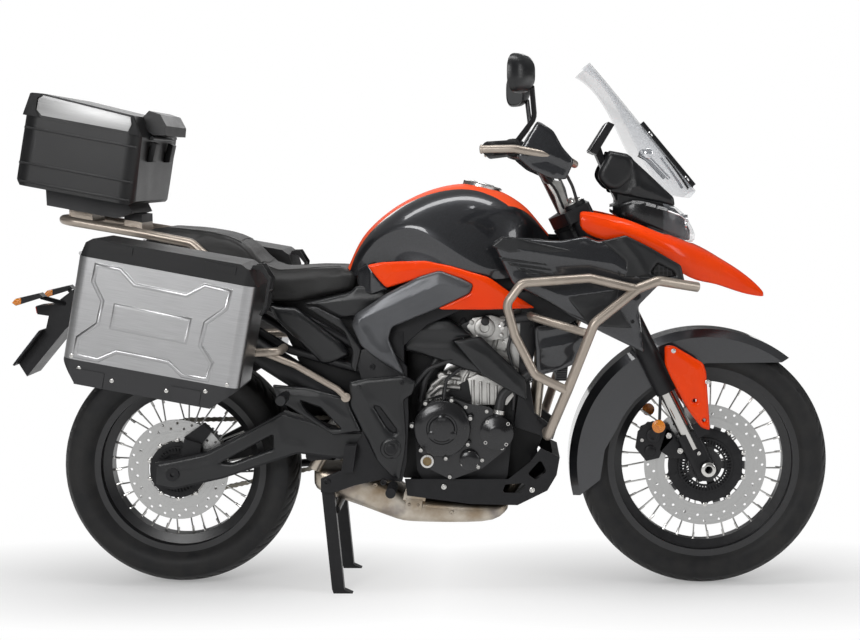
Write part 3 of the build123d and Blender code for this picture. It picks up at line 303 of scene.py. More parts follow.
def wrapped(steps, count):
    """The faces between rows of count points that close round into a ring."""
    faces = []
    for step in range(steps):
        here, there = step * count, (step + 1) % steps * count
        faces.extend([here + i, here + i + 1, there + i + 1, there + i] for i in range(count - 1))
    return faces


def turned(centre, axis, profile, steps=48):
    """Turns a profile of (radius, distance along the axis) about an axis."""
    axis = Vector(axis).normalized()
    across = axis.orthogonal().normalized()
    other = axis.cross(across)
    points = []
    for step in range(steps):
        turn = 2 * math.pi * step / steps
        radial = across * math.cos(turn) + other * math.sin(turn)
        points.extend(Vector(centre) + radial * max(r, 0.001) + axis * along for r, along in profile)
    return points, wrapped(steps, len(profile))


rubber = Finish("tyre_rubber", (0.016, 0.016, 0.017), 0.62, slot="tyre", Specular_IOR_Level=0.3)
dust = rubber.speckle(0.05, 5).step(0.35, 0.8)
rubber.mottle(dust, (0.012, 0.012, 0.013), (0.03, 0.029, 0.028), 0.18, 0.5)
rubber.bump((0.0012, 2), 0.0002)
TREAD_PITCH = 12.0  # degrees between two long sipes
TREAD_DEPTH = 3.2
TREAD_CUTS = (  # degrees round from and to, then shares of the half width from and to
    (-1, 1.5, 0.16, 0.94), (5.5, 6.7, 0.45, 0.86), (-1, 8, 0.30, 0.345),
)
SIPE_SLANT, SIDE_SHIFT = 15, 3  # degrees round, over the half width and between the two sides
INNER_LAND, OUTER_LAND = 0.06, 0.93  # shares of the half width inside and outside the cuts
CROWN_WIDTH = 0.985
CROWN_BOW, CROWN_POWER = 0.88, 2.3  # how far the crown falls and how square its shoulders are
SHOULDER = 0.46  # the shoulder's share of the tyre's height


def tread_cut(turn, share):
    """How deep the tread is cut at a turn in degrees and a share of the half width."""
    side = 1 if share > 0 else -1
    reach = abs(share)
    if reach < INNER_LAND or reach > OUTER_LAND:
        return 0.0
    place = (turn + side * SIDE_SHIFT + reach * SIPE_SLANT) % TREAD_PITCH
    return float(any(a < place < b and low < reach < high for a, b, low, high in TREAD_CUTS))


def off_axle(centre, radius, turn, y):
    """A point at a radius and a turn round an axle, and y to the side of the middle plane."""
    return centre + Vector((radius * math.cos(turn), y, radius * math.sin(turn)))


def tyre(centre, outer_r, half, seat_r, steps=540):
    """A tyre as a grid of points round the crown and the walls, with the tread pressed in."""
    height = outer_r - seat_r
    crown = []
    half_rows = 18
    for index in range(2 * half_rows + 1):
        share = -1 + index / half_rows
        bow = math.sqrt(max(0.0, 1 - (abs(share) * CROWN_BOW) ** CROWN_POWER))
        crown.append((share * half * CROWN_WIDTH, seat_r + height * (SHOULDER + (1 - SHOULDER) * bow), share))
    wall = ((0.62, 0.02), (0.66, 0.1), (0.83, 0.2), (0.93, 0.32), (0.98, 0.42))
    rows = [(-half * y, seat_r + height * z, 0) for y, z in wall]
    rows += crown
    rows += [(half * y, seat_r + height * z, 0) for y, z in reversed(wall)]
    points = []
    for step in range(steps):
        turn = 360 * step / steps
        spin = math.radians(turn)
        for y, radius, share in rows:
            r = min(radius, outer_r) - TREAD_DEPTH * tread_cut(turn, share)
            points.append(off_axle(centre, r, spin, y))
    return points, wrapped(steps, len(rows))


put_up("front_tyre_tread", tyre(FRONT_AXLE, 330, 55, 242), rubber, "front_wheel", ["front_tyre"], 50)
put_up("rear_tyre_tread", tyre(REAR_HUB, 312.5, 80, 216.5), rubber, "rear_wheel", ["rear_tyre"], 50)

# ---------------------------------------------------------------- wire wheels
# Aluminium drop-centre rims painted satin black, crossed stainless spokes hooked through the
# hub's flanges and pulled tight by nipples at the rim.


def spoke_finish(name, axle, hub_r, rim_r):
    """Black paint on rim and hub and bare steel on the spokes between them."""
    finish = Finish(name, (0.02, 0.02, 0.022), 0.35, slot="wheel_black")
    radius = finish.radius(axle)
    bare = (radius > hub_r / 1000) * (radius < rim_r / 1000)
    wear = finish.speckle(0.02, 4)
    paint = finish.blend(wear, (0.012, 0.012, 0.013), (0.028, 0.028, 0.03))
    finish.put("Base Color", finish.blend(bare, paint, (0.55, 0.545, 0.53)))
    finish.put("Metallic", bare * 0.97)
    finish.put("Roughness", wear * 0.14 + 0.24)
    finish.bump((0.0015, 2), 0.00006)
    return finish


steel = Finish("bare_steel", (0.66, 0.65, 0.63), 0.26, 1.0, slot="steel")
grain = steel.speckle(0.004, 4, (1, 8, 1))
steel.mottle(grain, (0.5, 0.49, 0.47), (0.74, 0.73, 0.71), 0.2, 0.18)
steel.bump(grain, 0.00008)

dress(spoke_finish("front_wheel_paint", FRONT_AXLE, 42, 213), "front_wire_wheel")
dress(spoke_finish("rear_wheel_paint", REAR_HUB, 50, 188), "rear_wire_wheel")

SPOKE_PAIRS = 16
NIPPLE = 17  # from a nipple's foot to the rim's edge


def nipples(centre, rim_r, offset):
    """The spoke nipples, brass plated bright, one at each spoke's outer end."""
    parts = []
    for side in (-1, 1):
        for number in range(SPOKE_PAIRS):
            turn = math.radians(360 / SPOKE_PAIRS * (number + 0.25 * side))
            out = Vector((math.cos(turn), 0, math.sin(turn)))
            foot = centre + out * (rim_r - NIPPLE) + Vector((0, side * offset, 0))
            parts.append(turned(foot, out, ((0, 0), (2.9, 0), (3.3, 3), (3.3, 15), (4.4, 18)), 8))
    return together(*parts)


put_up("front_spoke_nipples", nipples(FRONT_AXLE, 214, 7), steel, "front_wheel")
put_up("rear_spoke_nipples", nipples(REAR_HUB, 189, 10), steel, "rear_wheel")

# ---------------------------------------------------------------- brake discs and speed rings
# Stainless discs, laser cut and surface ground, riveted to black carriers on the right of each
# hub; a slotted ring beside each one feeds the speed sensor.


def disc_finish(name, axle, inner_r):
    """Ground steel on the braking ring, black paint on the carrier inside it."""
    finish = Finish(name, (0.6, 0.6, 0.6), 0.25, 1.0, slot="steel")
    radius = finish.radius(axle)
    ring = radius > inner_r / 1000
    ground = finish.node("ShaderNodeTexNoise", {"noise_dimensions": "1D"}, W=radius, Scale=1800.0, Detail=3.0)
    finish.put("Base Color", finish.blend(ring, (0.018, 0.018, 0.02), (0.46, 0.46, 0.455)))
    finish.put("Metallic", ring * 1.0)
    finish.put("Roughness", ground * 0.22 + 0.2)
    finish.bump(ground, 0.00012)
    return finish


def rivets(centre, y, radius, count):
    """Floating rivets round a disc's inner edge."""
    parts = []
    for number in range(count):
        turn = 2 * math.pi * (number + 0.5) / count
        foot = off_axle(centre, radius, turn, y)
        profile = ((0, -6.5), (4, -6.5), (6, -5), (6, -1), (8, -0.5), (8, 4), (0, 4))
        parts.append(turned(foot, (0, 1, 0), profile, 16))
    return together(*parts)


def slotted_ring(centre, y, inner_r, outer_r, slots):
    """A thin ring with open slots round it."""
    points, faces = [], []
    thick = 3
    steps = slots * 4
    row = 8  # points to a step
    for step in range(steps):
        turn = 2 * math.pi * step / steps
        notch = 0.25 if step % 4 in (0, 1) else 0.62
        for share in (0, notch, 0.8, 1):
            radius = inner_r + (outer_r - inner_r) * share
            for depth in (0, thick):
                points.append(off_axle(centre, radius, turn, y - depth))
    for step in range(steps):
        here, there = step * row, (step + 1) % steps * row
        slot = step % 4 in (0, 1)
        for low, high in ((0, 2), (2, 4), (4, 6)):
            if slot and low == 2:
                continue
            for a, b in ((here, there), (here + 1, there + 1)):
                faces.append([a + low, a + high, b + high, b + low])
        faces.append([here, there, there + 1, here + 1])
        faces.append([here + 6, here + 7, there + 7, there + 6])
    return points, faces


coated = Finish("black_coat", (0.02, 0.02, 0.022), 0.42, 0.0, slot="frame_black", Specular_IOR_Level=0.28)
coated.mottle((0.03, 4), (0.006, 0.006, 0.007), (0.017, 0.017, 0.019), 0.2, 0.3)
coated.bump((0.0009, 2), 0.00012)


EAR_STEPS = 12


def carrier(centre, y, inner_r, outer_r, lobe, count):
    """A black disc carrier, its rim scalloped into one ear for each rivet."""
    points, faces = [], []
    thick = 5
    steps = count * EAR_STEPS
    for step in range(steps):
        turn = 2 * math.pi * step / steps
        ear = lobe * math.cos(turn * count - math.pi) ** 3
        for radius in (inner_r, outer_r + max(ear, 0.0)):
            for depth in (0, thick):
                points.append(off_axle(centre, radius, turn, y - depth))
    for step in range(steps):
        a, b = step * 4, (step + 1) % steps * 4
        faces.extend([[a, a + 2, b + 2, b], [a + 1, b + 1, b + 3, a + 3]])
        faces.extend([[a, b, b + 1, a + 1], [a + 2, a + 3, b + 3, b + 2]])
    return points, faces


front_steel = disc_finish("front_disc_steel", FRONT_AXLE, 104)
rear_steel = disc_finish("rear_disc_steel", REAR_HUB, 74)
dress(front_steel, "front_disc")
dress(rear_steel, "rear_disc")
for wheel, axle, y, inner, outer, steps, finish in (
    ("front", FRONT_AXLE, -73.5, 107, 127, 120, front_steel),
    ("rear", REAR_HUB, -79.5, 78, 101, 96, rear_steel),
):
    band = ((inner, -2.2), (outer, -2.2), (outer, 2.2), (inner, 2.2), (inner, -2.2))
    part = turned((axle.x, y, axle.z), (0, 1, 0), band, steps)
    put_up(f"{wheel}_disc_inner_band", part, finish, f"{wheel}_wheel")
put_up("front_disc_carrier", carrier(FRONT_AXLE, -73, 60, 98, 12, 10), coated, "front_wheel", bevel=0.8)
put_up("rear_disc_carrier", carrier(REAR_HUB, -79, 52, 74, 9, 10), coated, "rear_wheel", bevel=0.8)
put_up("front_disc_rivets", rivets(FRONT_AXLE, -74, 105, 10), steel, "front_wheel")
put_up("rear_disc_rivets", rivets(REAR_HUB, -80, 78, 10), steel, "rear_wheel")
put_up("front_speed_ring", slotted_ring(FRONT_AXLE, -80, 50, 72, 48), coated, "front_wheel")
put_up("rear_speed_ring", slotted_ring(REAR_HUB, -85.5, 44, 62, 40), coated, "rear_wheel")

# ---------------------------------------------------------------- chain and sprockets
# A roller chain of pressed side plates on pins, run over a drilled steel sprocket on the left.
# The plates are hardened steel, dull with oil; the pins are riveted over outside them.
CHAIN_Y = 97.0
CHAIN_PITCH = 15.875
LINK_THICK = 1.6
LINK_END, LINK_WAIST = 6, 4.4  # half heights of a side plate
OUTER_LINK, INNER_LINK = 5.2, 3.4  # from the chain's middle to the plates' inner faces


SPROCKET = Vector((628, 0, 392))  # the engine's
REAR_PITCH_R, FRONT_PITCH_R = 103.0, 38.0


def chain_route():
    """The chain's pitch line as points at one link's pitch."""
    way = SPROCKET - REAR_HUB
    lean = math.atan2(way.z, way.x)
    open_angle = math.acos((REAR_PITCH_R - FRONT_PITCH_R) / way.length)
    outline = []
    for centre, radius, start, sweep, steps in (
        (REAR_HUB, REAR_PITCH_R, lean + open_angle, 2 * math.pi - 2 * open_angle, 40),
        (SPROCKET, FRONT_PITCH_R, lean - open_angle, 2 * open_angle, 20),
    ):
        for index in range(steps + 1):
            turn = start + sweep * index / steps
            outline.append(centre + Vector((math.cos(turn), 0, math.sin(turn))) * radius)
    outline.append(outline[0])
    total = sum((b - a).length for a, b in zip(outline, outline[1:]))
    links = round(total / CHAIN_PITCH / 2) * 2
    pitch = total / links
    points, walked, target = [], 0.0, 0.0
    for a, b in zip(outline, outline[1:]):
        length = (b - a).length
        while target <= walked + length and len(points) < links:
            points.append(a.lerp(b, (target - walked) / length))
            target += pitch
        walked += length
    return points


def prism(first, second):
    """Two outlines of equal count with walls between them."""
    count = len(first)
    faces = [list(range(count)), list(range(2 * count - 1, count - 1, -1))]
    faces.extend([i, (i + 1) % count, (i + 1) % count + count, i + count] for i in range(count))
    return first + second, faces


def link_plate(a, b, y):
    """A waisted side plate between two pins."""
    along = (b - a).normalized()
    up = Vector((-along.z, 0, along.x))
    outline = []
    for end, way in ((b, 1), (a, -1)):
        for step in range(7):
            turn = math.radians(-90 + 30 * step)
            outline.append(end + along * way * LINK_END * math.cos(turn) + up * way * LINK_END * math.sin(turn))
        outline.append((a + b) / 2 + up * way * LINK_WAIST)
    return prism(*([p + Vector((0, side, 0)) for p in outline] for side in (y, y + LINK_THICK)))


pins = chain_route()
chain_parts = []
for number, pin in enumerate(pins):
    following = pins[(number + 1) % len(pins)]
    spread = OUTER_LINK if number % 2 else INNER_LINK
    middle = pin + Vector((0, CHAIN_Y, 0))
    chain_parts.append(link_plate(pin, following, CHAIN_Y - spread - LINK_THICK))
    chain_parts.append(link_plate(pin, following, CHAIN_Y + spread))
    chain_parts.append(turned(middle, (0, 1, 0), ((0, -7.4), (2.6, -7.4), (2.6, 7.4), (0, 7.4)), 8))
    chain_parts.append(turned(middle, (0, 1, 0), ((4.4, -3.2), (4.4, 3.2)), 10))
chain_steel = Finish("chain_steel", (0.32, 0.29, 0.24), 0.38, 0.95, slot="steel")
chain_steel.mottle((0.012, 4), (0.12, 0.11, 0.09), (0.45, 0.42, 0.36), 0.3, 0.22)
put_up("drive_chain", together(*chain_parts), chain_steel, "frame", ["chain"], 30)
dress(steel, "rear_sprocket")

# ---------------------------------------------------------------- frame, subframe, swingarm and stands
# Steel tube and pressed plate, welded and powder coated satin black; the swingarm is an
# aluminium box section pivoted in the plates on a through bolt.
dress(coated, "subframe", "swingarm", "centre_stand", "side_stand")


def hex_screw(foot, axis, radius, height):
    """A socket screw's head with its hexagonal hole."""
    rim = turned(
        foot, axis, ((radius, 0), (radius, height * 0.8), (radius * 0.86, height), (radius * 0.56, height)), 20
    )
    hole = turned(foot, axis, ((radius * 0.56, height), (radius * 0.5, height * 0.35), (0, height * 0.35)), 6)
    return together(rim, hole)


def washer_nut(foot, axis, radius, height):
    """A six-sided nut on a round washer."""
    washer = turned(foot, axis, ((radius * 1.35, 0), (radius * 1.35, height * 0.2), (0, height * 0.2)), 24)
    flats = ((radius * 1.1, height * 0.2), (radius * 1.1, height * 0.9), (radius * 0.9, height), (0, height))
    nut = turned(foot, axis, flats, 6)
    return together(washer, nut)


def both(*parts):
    """Some parts and their mirror image across the middle plane."""
    points, faces = together(*parts)
    mirrored = [Vector((p[0], -p[1], p[2])) for p in points], [face[::-1] for face in faces]
    return together((points, faces), mirrored)


RIGHT = (0, -1, 0)


def screws(*spots):
    """Socket screws on the right side: x, y, z, head radius and head height of each."""
    return together(*(hex_screw((x, -y, z), RIGHT, radius, tall) for x, y, z, radius, tall in spots))


put_up(
    "chassis_screws",
    screws(
        (930, 106, 700, 8, 5), (925, 106, 560, 8, 5), (950, 106, 452, 7, 5), (905, 106, 610, 7, 5),
        (400, 158, 300, 9, 5), (546, 158, 300, 8, 5), (520, 158, 600, 7, 5),
    ),
    coated, "frame",
)

# ---------------------------------------------------------------- engine
# A water-cooled single: die-cast crankcase with black sprayed covers held by flange screws, and
# a bare aluminium barrel and head with shallow ribs.
cast_black = Finish(
    "crankcase_black", (0.03, 0.03, 0.032), 0.48, 0.25, slot="engine_black", Specular_IOR_Level=0.35,
)
cast_black.mottle((0.06, 4), (0.01, 0.01, 0.011), (0.028, 0.028, 0.03), 0.2, 0.34)
cast_black.bump((0.0016, 3), 0.00025)

cast_alloy = Finish("cast_aluminium", (0.55, 0.55, 0.54), 0.42, 0.9, slot="alloy")
cast_alloy.mottle((0.03, 4), (0.34, 0.335, 0.325), (0.66, 0.65, 0.625), 0.2, 0.32)
cast_alloy.bump((0.0014, 3), 0.0003)

cover_gloss = Finish(
    "engine_cover_black", (0.02, 0.02, 0.022), 0.26, 0.4, slot="engine_black", Coat_Weight=0.4, Coat_Roughness=0.12,
)
cover_gloss.mottle((0.05, 4), (0.008, 0.008, 0.009), (0.022, 0.022, 0.024), 0.16, 0.2)
cover_gloss.bump((0.0016, 3), 0.00015)

dress(cast_black, "engine_block")
dress(cover_gloss, "engine_covers")
dress(cast_alloy, "cylinder")


def ring_of(shape, centre, y, radius, count, start=0.0):
    """The same small part set round a circle on the right side."""
    parts = []
    for number in range(count):
        turn = math.radians(start + 360 * number / count)
        parts.append(shape((centre[0] + radius * math.cos(turn), -y, centre[1] + radius * math.sin(turn))))
    return together(*parts)


def case_screw(foot):
    return hex_screw(foot, RIGHT, 5.2, 6)


def corner_arc(start, corner, end, steps):
    """A curve that rounds a corner off, from one side to the other."""
    shares = [step / steps for step in range(steps + 1)]
    return [start.lerp(corner, share).lerp(corner.lerp(end, share), share) for share in shares]


BEND_STEP = 12  # degrees between two rings of a bent tube
RUN_SHARE = 0.48  # of a straight run, that the bend at one end may take up


def pipe(route, radius, bend=30.0, sides=14):
    """A round tube along straight runs joined by bends."""
    route = [Vector(p) for p in route]
    line = [route[0]]
    for before, corner, after in zip(route, route[1:], route[2:]):
        first, second = before - corner, after - corner
        turn = math.pi - first.angle(second)
        cut = min(bend * math.tan(turn / 2), first.length * RUN_SHARE, second.length * RUN_SHARE)
        start, end = corner + first.normalized() * cut, corner + second.normalized() * cut
        steps = max(2, int(math.degrees(turn) / BEND_STEP))
        line.extend(corner_arc(start, corner, end, steps))
    line.append(route[-1])
    way = (line[1] - line[0]).normalized()
    side = way.orthogonal().normalized()
    points, faces = [], []
    for index, spot in enumerate(line):
        before, after = line[max(index - 1, 0)], line[min(index + 1, len(line) - 1)]
        fresh = (after - before).normalized()
        side = way.rotation_difference(fresh) @ side
        way = fresh
        other = way.cross(side)
        for step in range(sides):
            turn = 2 * math.pi * step / sides
            points.append(spot + side * (radius * math.cos(turn)) + other * (radius * math.sin(turn)))
    for index in range(len(line) - 1):
        for step in range(sides):
            a, b = index * sides + step, index * sides + (step + 1) % sides
            faces.append([a, b, b + sides, a + sides])
    faces.append(list(range(sides))[::-1])
    faces.append([len(points) - sides + step for step in range(sides)])
    return points, faces


def slab(outline, y_out, y_in):
    """A lengthwise plate between two distances from the middle plane, on the right."""
    return prism(*([Vector((x, -y, z)) for x, z in outline] for y in (y_out, y_in)))


def loft(rings, closed=True, ends=True):
    """A skin over rings of equal count."""
    points = [Vector(p) for ring in rings for p in ring]
    count = len(rings[0])
    faces = []
    for index in range(len(rings) - 1):
        for step in range(count if closed else count - 1):
            a, b = index * count + step, index * count + (step + 1) % count
            faces.append([a, b, b + count, a + count])
    if ends and closed:
        faces.append(list(range(count))[::-1])
        faces.append([len(points) - count + step for step in range(count)])
    return points, faces


def lobe(foot):
    return turned(foot, RIGHT, ((13, 0), (13, 7), (9, 10), (0, 10)), 20)


def screw_boss(foot):
    return turned(foot, RIGHT, ((8.5, -14), (8.5, 2), (7, 3.5), (0, 3.5)), 16)


CLUTCH, PUMP, OIL_FILTER = (697, 438), (838, 426), (767, 354)  # x and z of each round cover
dome = (
    (73.5, -4), (73.5, 2), (71, 5), (64, 7), (58, 10), (48, 12.5), (40, 13), (38, 11), (34, 11), (31, 16),
    (20, 17.5), (0, 18),
)
pump_dome = ((43, 0), (43, 4), (39, 6.5), (26, 7.5), (22, 11), (12, 12), (0, 12))
filter_dome = ((25.5, 0), (25.5, 5), (22, 8), (8, 9), (0, 9))
put_up(
    "clutch_cover_dome",
    together(
        turned((CLUTCH[0], -147, CLUTCH[1]), RIGHT, dome, 72),
        ring_of(lobe, CLUTCH, 154, 27, 3, 90),
        turned((PUMP[0], -144, PUMP[1]), RIGHT, pump_dome, 48),
        turned((OIL_FILTER[0], -140, OIL_FILTER[1]), RIGHT, filter_dome, 40),
        ring_of(screw_boss, CLUTCH, 146, 78, 7, 20),
    ),
    cover_gloss, "frame",
)
put_up(
    "engine_screws",
    together(
        ring_of(case_screw, CLUTCH, 149.5, 78, 7, 20),
        ring_of(case_screw, PUMP, 145, 38, 4, 40),
        ring_of(case_screw, OIL_FILTER, 141, 20, 3, 90),
        *(
            case_screw((x, -127.5, z))
            for x, z in (
                (640, 404), (664, 340), (716, 308), (790, 334), (852, 384), (857, 448), (812, 480), (758, 491),
                (716, 506), (668, 498), (636, 456), (800, 352),
            )
        ),
    ),
    steel, "frame",
)
sight = Finish("oil_window", (0.25, 0.16, 0.05), 0.08, slot="clear")
level_line = sight.speckle(0.01, 2)
sight.put("Base Color", sight.blend(level_line, (0.12, 0.07, 0.02), (0.32, 0.22, 0.08)))
sight_foot = (658, -135.5, 350)
put_up("oil_sight_glass", turned(sight_foot, RIGHT, ((11, 0), (11, 1.5), (0, 2)), 32), sight, "frame")
put_up("oil_sight_rim", turned(sight_foot, RIGHT, ((17, 0), (17, 3), (12, 3.4), (11, 1)), 32), steel, "frame")

hose_black = Finish("hose_rubber", (0.02, 0.02, 0.021), 0.5, slot="black_plastic")
weave = hose_black.speckle(0.002, 2)
hose_black.put("Base Color", hose_black.blend(hose_black.speckle(0.03), (0.012, 0.012, 0.013), (0.03, 0.03, 0.032)))
hose_black.put("Roughness", weave * 0.25 + 0.38)
hose_black.bump(weave, 0.0002)
put_up(
    "engine_hoses",
    together(
        pipe([(838, -132, 452), (850, -120, 520), (900, -112, 560), (940, -108, 590), (1000, -110, 600)], 13, 40),
        pipe([(838, -80, 690), (880, -92, 716), (940, -112, 728), (1006, -112, 716)], 13, 40),
        pipe([(640, -90, 500), (650, -104, 560), (700, -96, 640), (742, -70, 700)], 9, 50),
        pipe([(700, -128, 500), (706, -110, 560), (760, -96, 600), (770, -86, 660)], 5, 30),
        pipe([(880, -100, 480), (886, -112, 560), (866, -108, 640), (880, -96, 700)], 4.5, 30),
        pipe([(620, -112, 540), (660, -122, 590), (720, -118, 612), (790, -92, 600)], 6, 40),
    ),
    hose_black, "frame",
)
BARREL_UP = Vector((0.225, 0, 0.974))  # the cylinder leans forward by 13 degrees
BARREL_ACROSS = Vector((0.974, 0, -0.225))
BARREL_FOOT = Vector((826, 0, 540))


def on_barrel(across_x, y, up):
    """A point across and up the leaning cylinder."""
    return BARREL_FOOT + BARREL_ACROSS * across_x + BARREL_UP * up + Vector((0, y, 0))


fin = ((-63, -70), (63, -70), (66, -74), (-66, -74))  # a rib's corners across the barrel
crankcase_top = [
    (640, 500), (672, 548), (712, 572), (768, 584), (836, 606), (862, 560), (880, 500), (760, 470), (660, 470),
]
cam_cover = [(760, 696), (775, 718), (822, 726), (864, 714), (866, 668), (822, 660), (780, 669)]
chain_cover = [(854, 706), (884, 722), (918, 690), (928, 640), (908, 580), (876, 600), (858, 650)]
cam_dome = ((31, 0), (31, 4), (28, 7), (22, 7.5), (20, 5), (11, 5), (9, 8), (0, 8))
head_parts = [
    turned(on_barrel(-16, -74, 156), RIGHT, cam_dome, 40),
    turned(on_barrel(34, -72, 134), RIGHT, ((14, 0), (14, 6), (11, 8), (0, 8)), 24),
    pipe([on_barrel(-62, -30, 130), on_barrel(-100, -40, 128), on_barrel(-150, -52, 110)], 21, 40, 20),
    pipe([on_barrel(-60, -64, 60), on_barrel(-84, -86, 70), on_barrel(-128, -92, 62)], 8, 20),
    pipe([on_barrel(-60, -64, 80), on_barrel(-84, -80, 94), on_barrel(-130, -84, 88)], 7, 20),
    *(loft([[on_barrel(x, y, up + rise) for x, y in fin] for rise in (0, 5)]) for up in (28, 43, 58, 73)),
    *(
        pipe([on_barrel(x, -73, 94), on_barrel(x, -75, 120), on_barrel(x, -75, 176)], 7, 8, 12)
        for x in (-52, -18, 18, 52)
    ),
    slab(crankcase_top, 78, -78),
    *(pipe([(x, -78, 500), (x + 4, -78, 556), (x + 16, -74, 578)], 5.5, 12, 12) for x in range(698, 829, 26)),
    pipe([(668, -84, 540), (700, -88, 566), (742, -86, 560)], 7, 12, 14),
    pipe([(662, -84, 516), (690, -88, 540), (742, -86, 536)], 7, 12, 14),
    slab([(763, 562), (787, 573), (870, 548), (882, 518), (864, 494), (775, 494)], 111, 70),
    *(pipe([(x, -111, 496), (x, -111, 560 - (x - 776) * 0.25)], 4.5, 12, 12) for x in range(776, 857, 20)),
    slab(cam_cover, 97, 70),
    slab(chain_cover, 90, 60),
    turned((806, -97, 694), RIGHT, ((27, -2), (27, 4), (24, 6), (13, 6), (11, 3), (0, 3)), 36),
    turned((890, -90, 664), RIGHT, ((16, -2), (16, 5), (12, 7), (0, 7)), 28),
    *(
        turned((x, -y, z), RIGHT, ((6.5, -2), (6.5, 4), (4, 5), (0, 5)), 12)
        for x, y, z in (
            (772, 96, 708), (852, 96, 704), (850, 96, 674), (790, 96, 672), (880, 90, 706), (912, 90, 676),
            (904, 90, 604),
        )
    ),
    turned((694, -84, 566), RIGHT, ((12, -6), (12, 6), (9, 9), (0, 9)), 24),
]
put_up("cylinder_head_castings", together(*head_parts), cast_alloy, "frame", bevel=0.6)
head_screws = ((-56, 110), (-56, 178), (4, 118), (54, 116), (58, 170), (14, 178))
hose_bands = (((843, -130, 478), (0.2, 0.1, 1)), ((948, -107, 594), (1, 0, 0.2)), ((850, -84, 696), (1, 0, 0.5)))
put_up(
    "head_bolts",
    together(
        *(hex_screw(on_barrel(x, -76, up), RIGHT, 5, 5) for x, up in head_screws),
        *(turned(spot, way, ((14.5, -5), (16, -5), (16, 5), (14.5, 5)), 24) for spot, way in hose_bands),
    ),
    steel, "frame",
)
put_up(
    "plug_and_injector",
    together(
        turned((806, -76, 706), (0.1, -0.95, 0.25), ((10, -8), (10, 16), (13, 18), (13, 26), (8, 30), (0, 30)), 20),
        turned((770, -60, 692), (-0.6, -0.6, 0.5), ((8, -10), (8, 20), (11, 22), (11, 40), (0, 42)), 20),
        slab([(744, 700), (776, 716), (790, 694), (758, 676)], 92, 60),
    ),
    hose_black, "frame", bevel=2,
)

# ---------------------------------------------------------------- exhaust and skid plate
# A folded and welded stainless collector box under the engine, stained by heat, with its header
# down the front, a band clamp and a short outlet; the skid plate is pressed steel, black.
heat_steel = Finish("heated_stainless", (0.42, 0.36, 0.29), 0.34, 0.95, slot="exhaust_steel")
scratch = heat_steel.speckle(0.006, 3, (1, 6, 6))
straw, brown, blue = (0.55, 0.5, 0.43), (0.26, 0.19, 0.12), (0.13, 0.12, 0.14)
warm = heat_steel.blend(heat_steel.speckle(0.07, 6).step(0.35, 0.7), straw, brown)
heat_steel.put("Base Color", heat_steel.blend(heat_steel.speckle(0.11, 4).step(0.55, 0.75), warm, blue))
heat_steel.put("Roughness", scratch * 0.26 + 0.24)
heat_steel.bump(scratch, 0.0002)


CORNER_STEPS = 4


def box_ring(x, y0, y1, z0, z1, corner):
    """A rounded rectangle across the machine at one distance along it."""
    ring = []
    for cy, cz, start in ((y1, z1, 0), (y0, z1, 90), (y0, z0, 180), (y1, z0, 270)):
        inward_y = -1 if cy == y1 else 1
        inward_z = -1 if cz == z1 else 1
        for step in range(CORNER_STEPS + 1):
            turn = math.radians(start + 90 / CORNER_STEPS * step)
            y = cy + inward_y * corner + corner * math.cos(turn)
            z = cz + inward_z * corner + corner * math.sin(turn)
            ring.append((x, y, z))
    return ring


collector = loft(
    [
        box_ring(x, -left, right, low, high, corner)
        for x, left, right, low, high, corner in (
            (352, 80, 60, 278, 318, 10), (372, 90, 66, 252, 319, 22), (440, 94, 68, 234, 316, 26),
            (520, 95, 69, 203, 306, 28), (580, 95, 69, 181, 262, 24), (604, 95, 69, 177, 242, 22),
            (700, 95, 69, 175, 232, 20), (810, 94, 68, 176, 224, 18), (846, 88, 62, 188, 224, 12),
            (872, 70, 50, 214, 223, 4),
        )
    ]
)
put_up(
    "exhaust_box",
    together(
        collector,
        pipe([(957, -10, 650), (957, -10, 640), (936, -14, 430), (905, -20, 300), (840, -20, 205)], 17, 60, 20),
        turned((930, -14, 400), (0.08, 0, 1), ((17, 0), (21, 1), (21, 14), (17, 15)), 28),
    ),
    heat_steel, "frame", ["exhaust"], 45, levels=1,
)
put_up(
    "exhaust_seams_and_clamp",
    together(
        slab([(598, 214), (640, 212), (644, 240), (600, 244)], 98, 88),
        slab([(592, 240), (650, 236), (654, 258), (596, 262)], 97, 60),
        turned(
            (622, -84, 262), (1, 0, -0.05),
            ((9, -24), (13, -24), (13, -16), (10, -14), (10, 14), (13, 16), (13, 24), (9, 24)), 24,
        ),
        screws(
            (608, 98, 228, 4, 4), (632, 98, 226, 4, 4), (648, 90, 250, 6, 6), (520, 95, 280, 6, 5),
            (720, 95, 206, 6, 5),
        ),
    ),
    heat_steel, "frame", bevel=0.8,
)

tough_plastic = Finish("grained_plastic", (0.02, 0.02, 0.022), 0.55, slot="black_plastic", Specular_IOR_Level=0.28)
tough_plastic.mottle((0.05, 5), (0.006, 0.006, 0.0065), (0.015, 0.015, 0.016), 0.2, 0.4)
tough_plastic.bump(tough_plastic.cells(900.0), 0.00025)

dress(coated, "skid_plate")
put_up("skid_plate_screws", screws((700, 110, 278, 7, 4), (930, 110, 270, 7, 4)), steel, "frame")

# ---------------------------------------------------------------- radiator and rear shock
# A brazed aluminium core, painted black, between plastic tanks; its louvred fins run level and it
# hangs on rubber mounts in front of the cylinder. The shock's body is cast aluminium.
core = Finish("radiator_core", (0.03, 0.03, 0.032), 0.5, 0.4, slot="black_plastic")
_, y, z = core.place()
LOUVRES, TUBES = 1100, 620  # radians to the metre
louvre_relief_and_gap_shade = (z * LOUVRES).math("SINE")
tubes = (y * TUBES).math("SINE")
# Level bands of the core are painted near black between the louvres, as painted shade in the gaps between the fins;
# the same bands raise the louvres in the bump.
core.put("Base Color", core.blend(louvre_relief_and_gap_shade.step(-0.2, 0.8), (0.008, 0.008, 0.009), (0.06, 0.06, 0.062)))
core.put("Roughness", core.speckle(0.02) * 0.2 + 0.4)
core.bump(louvre_relief_and_gap_shade * 0.6 + tubes * 0.4, 0.0008)
dress(core, "radiator")
dress(cast_alloy, "rear_shock")

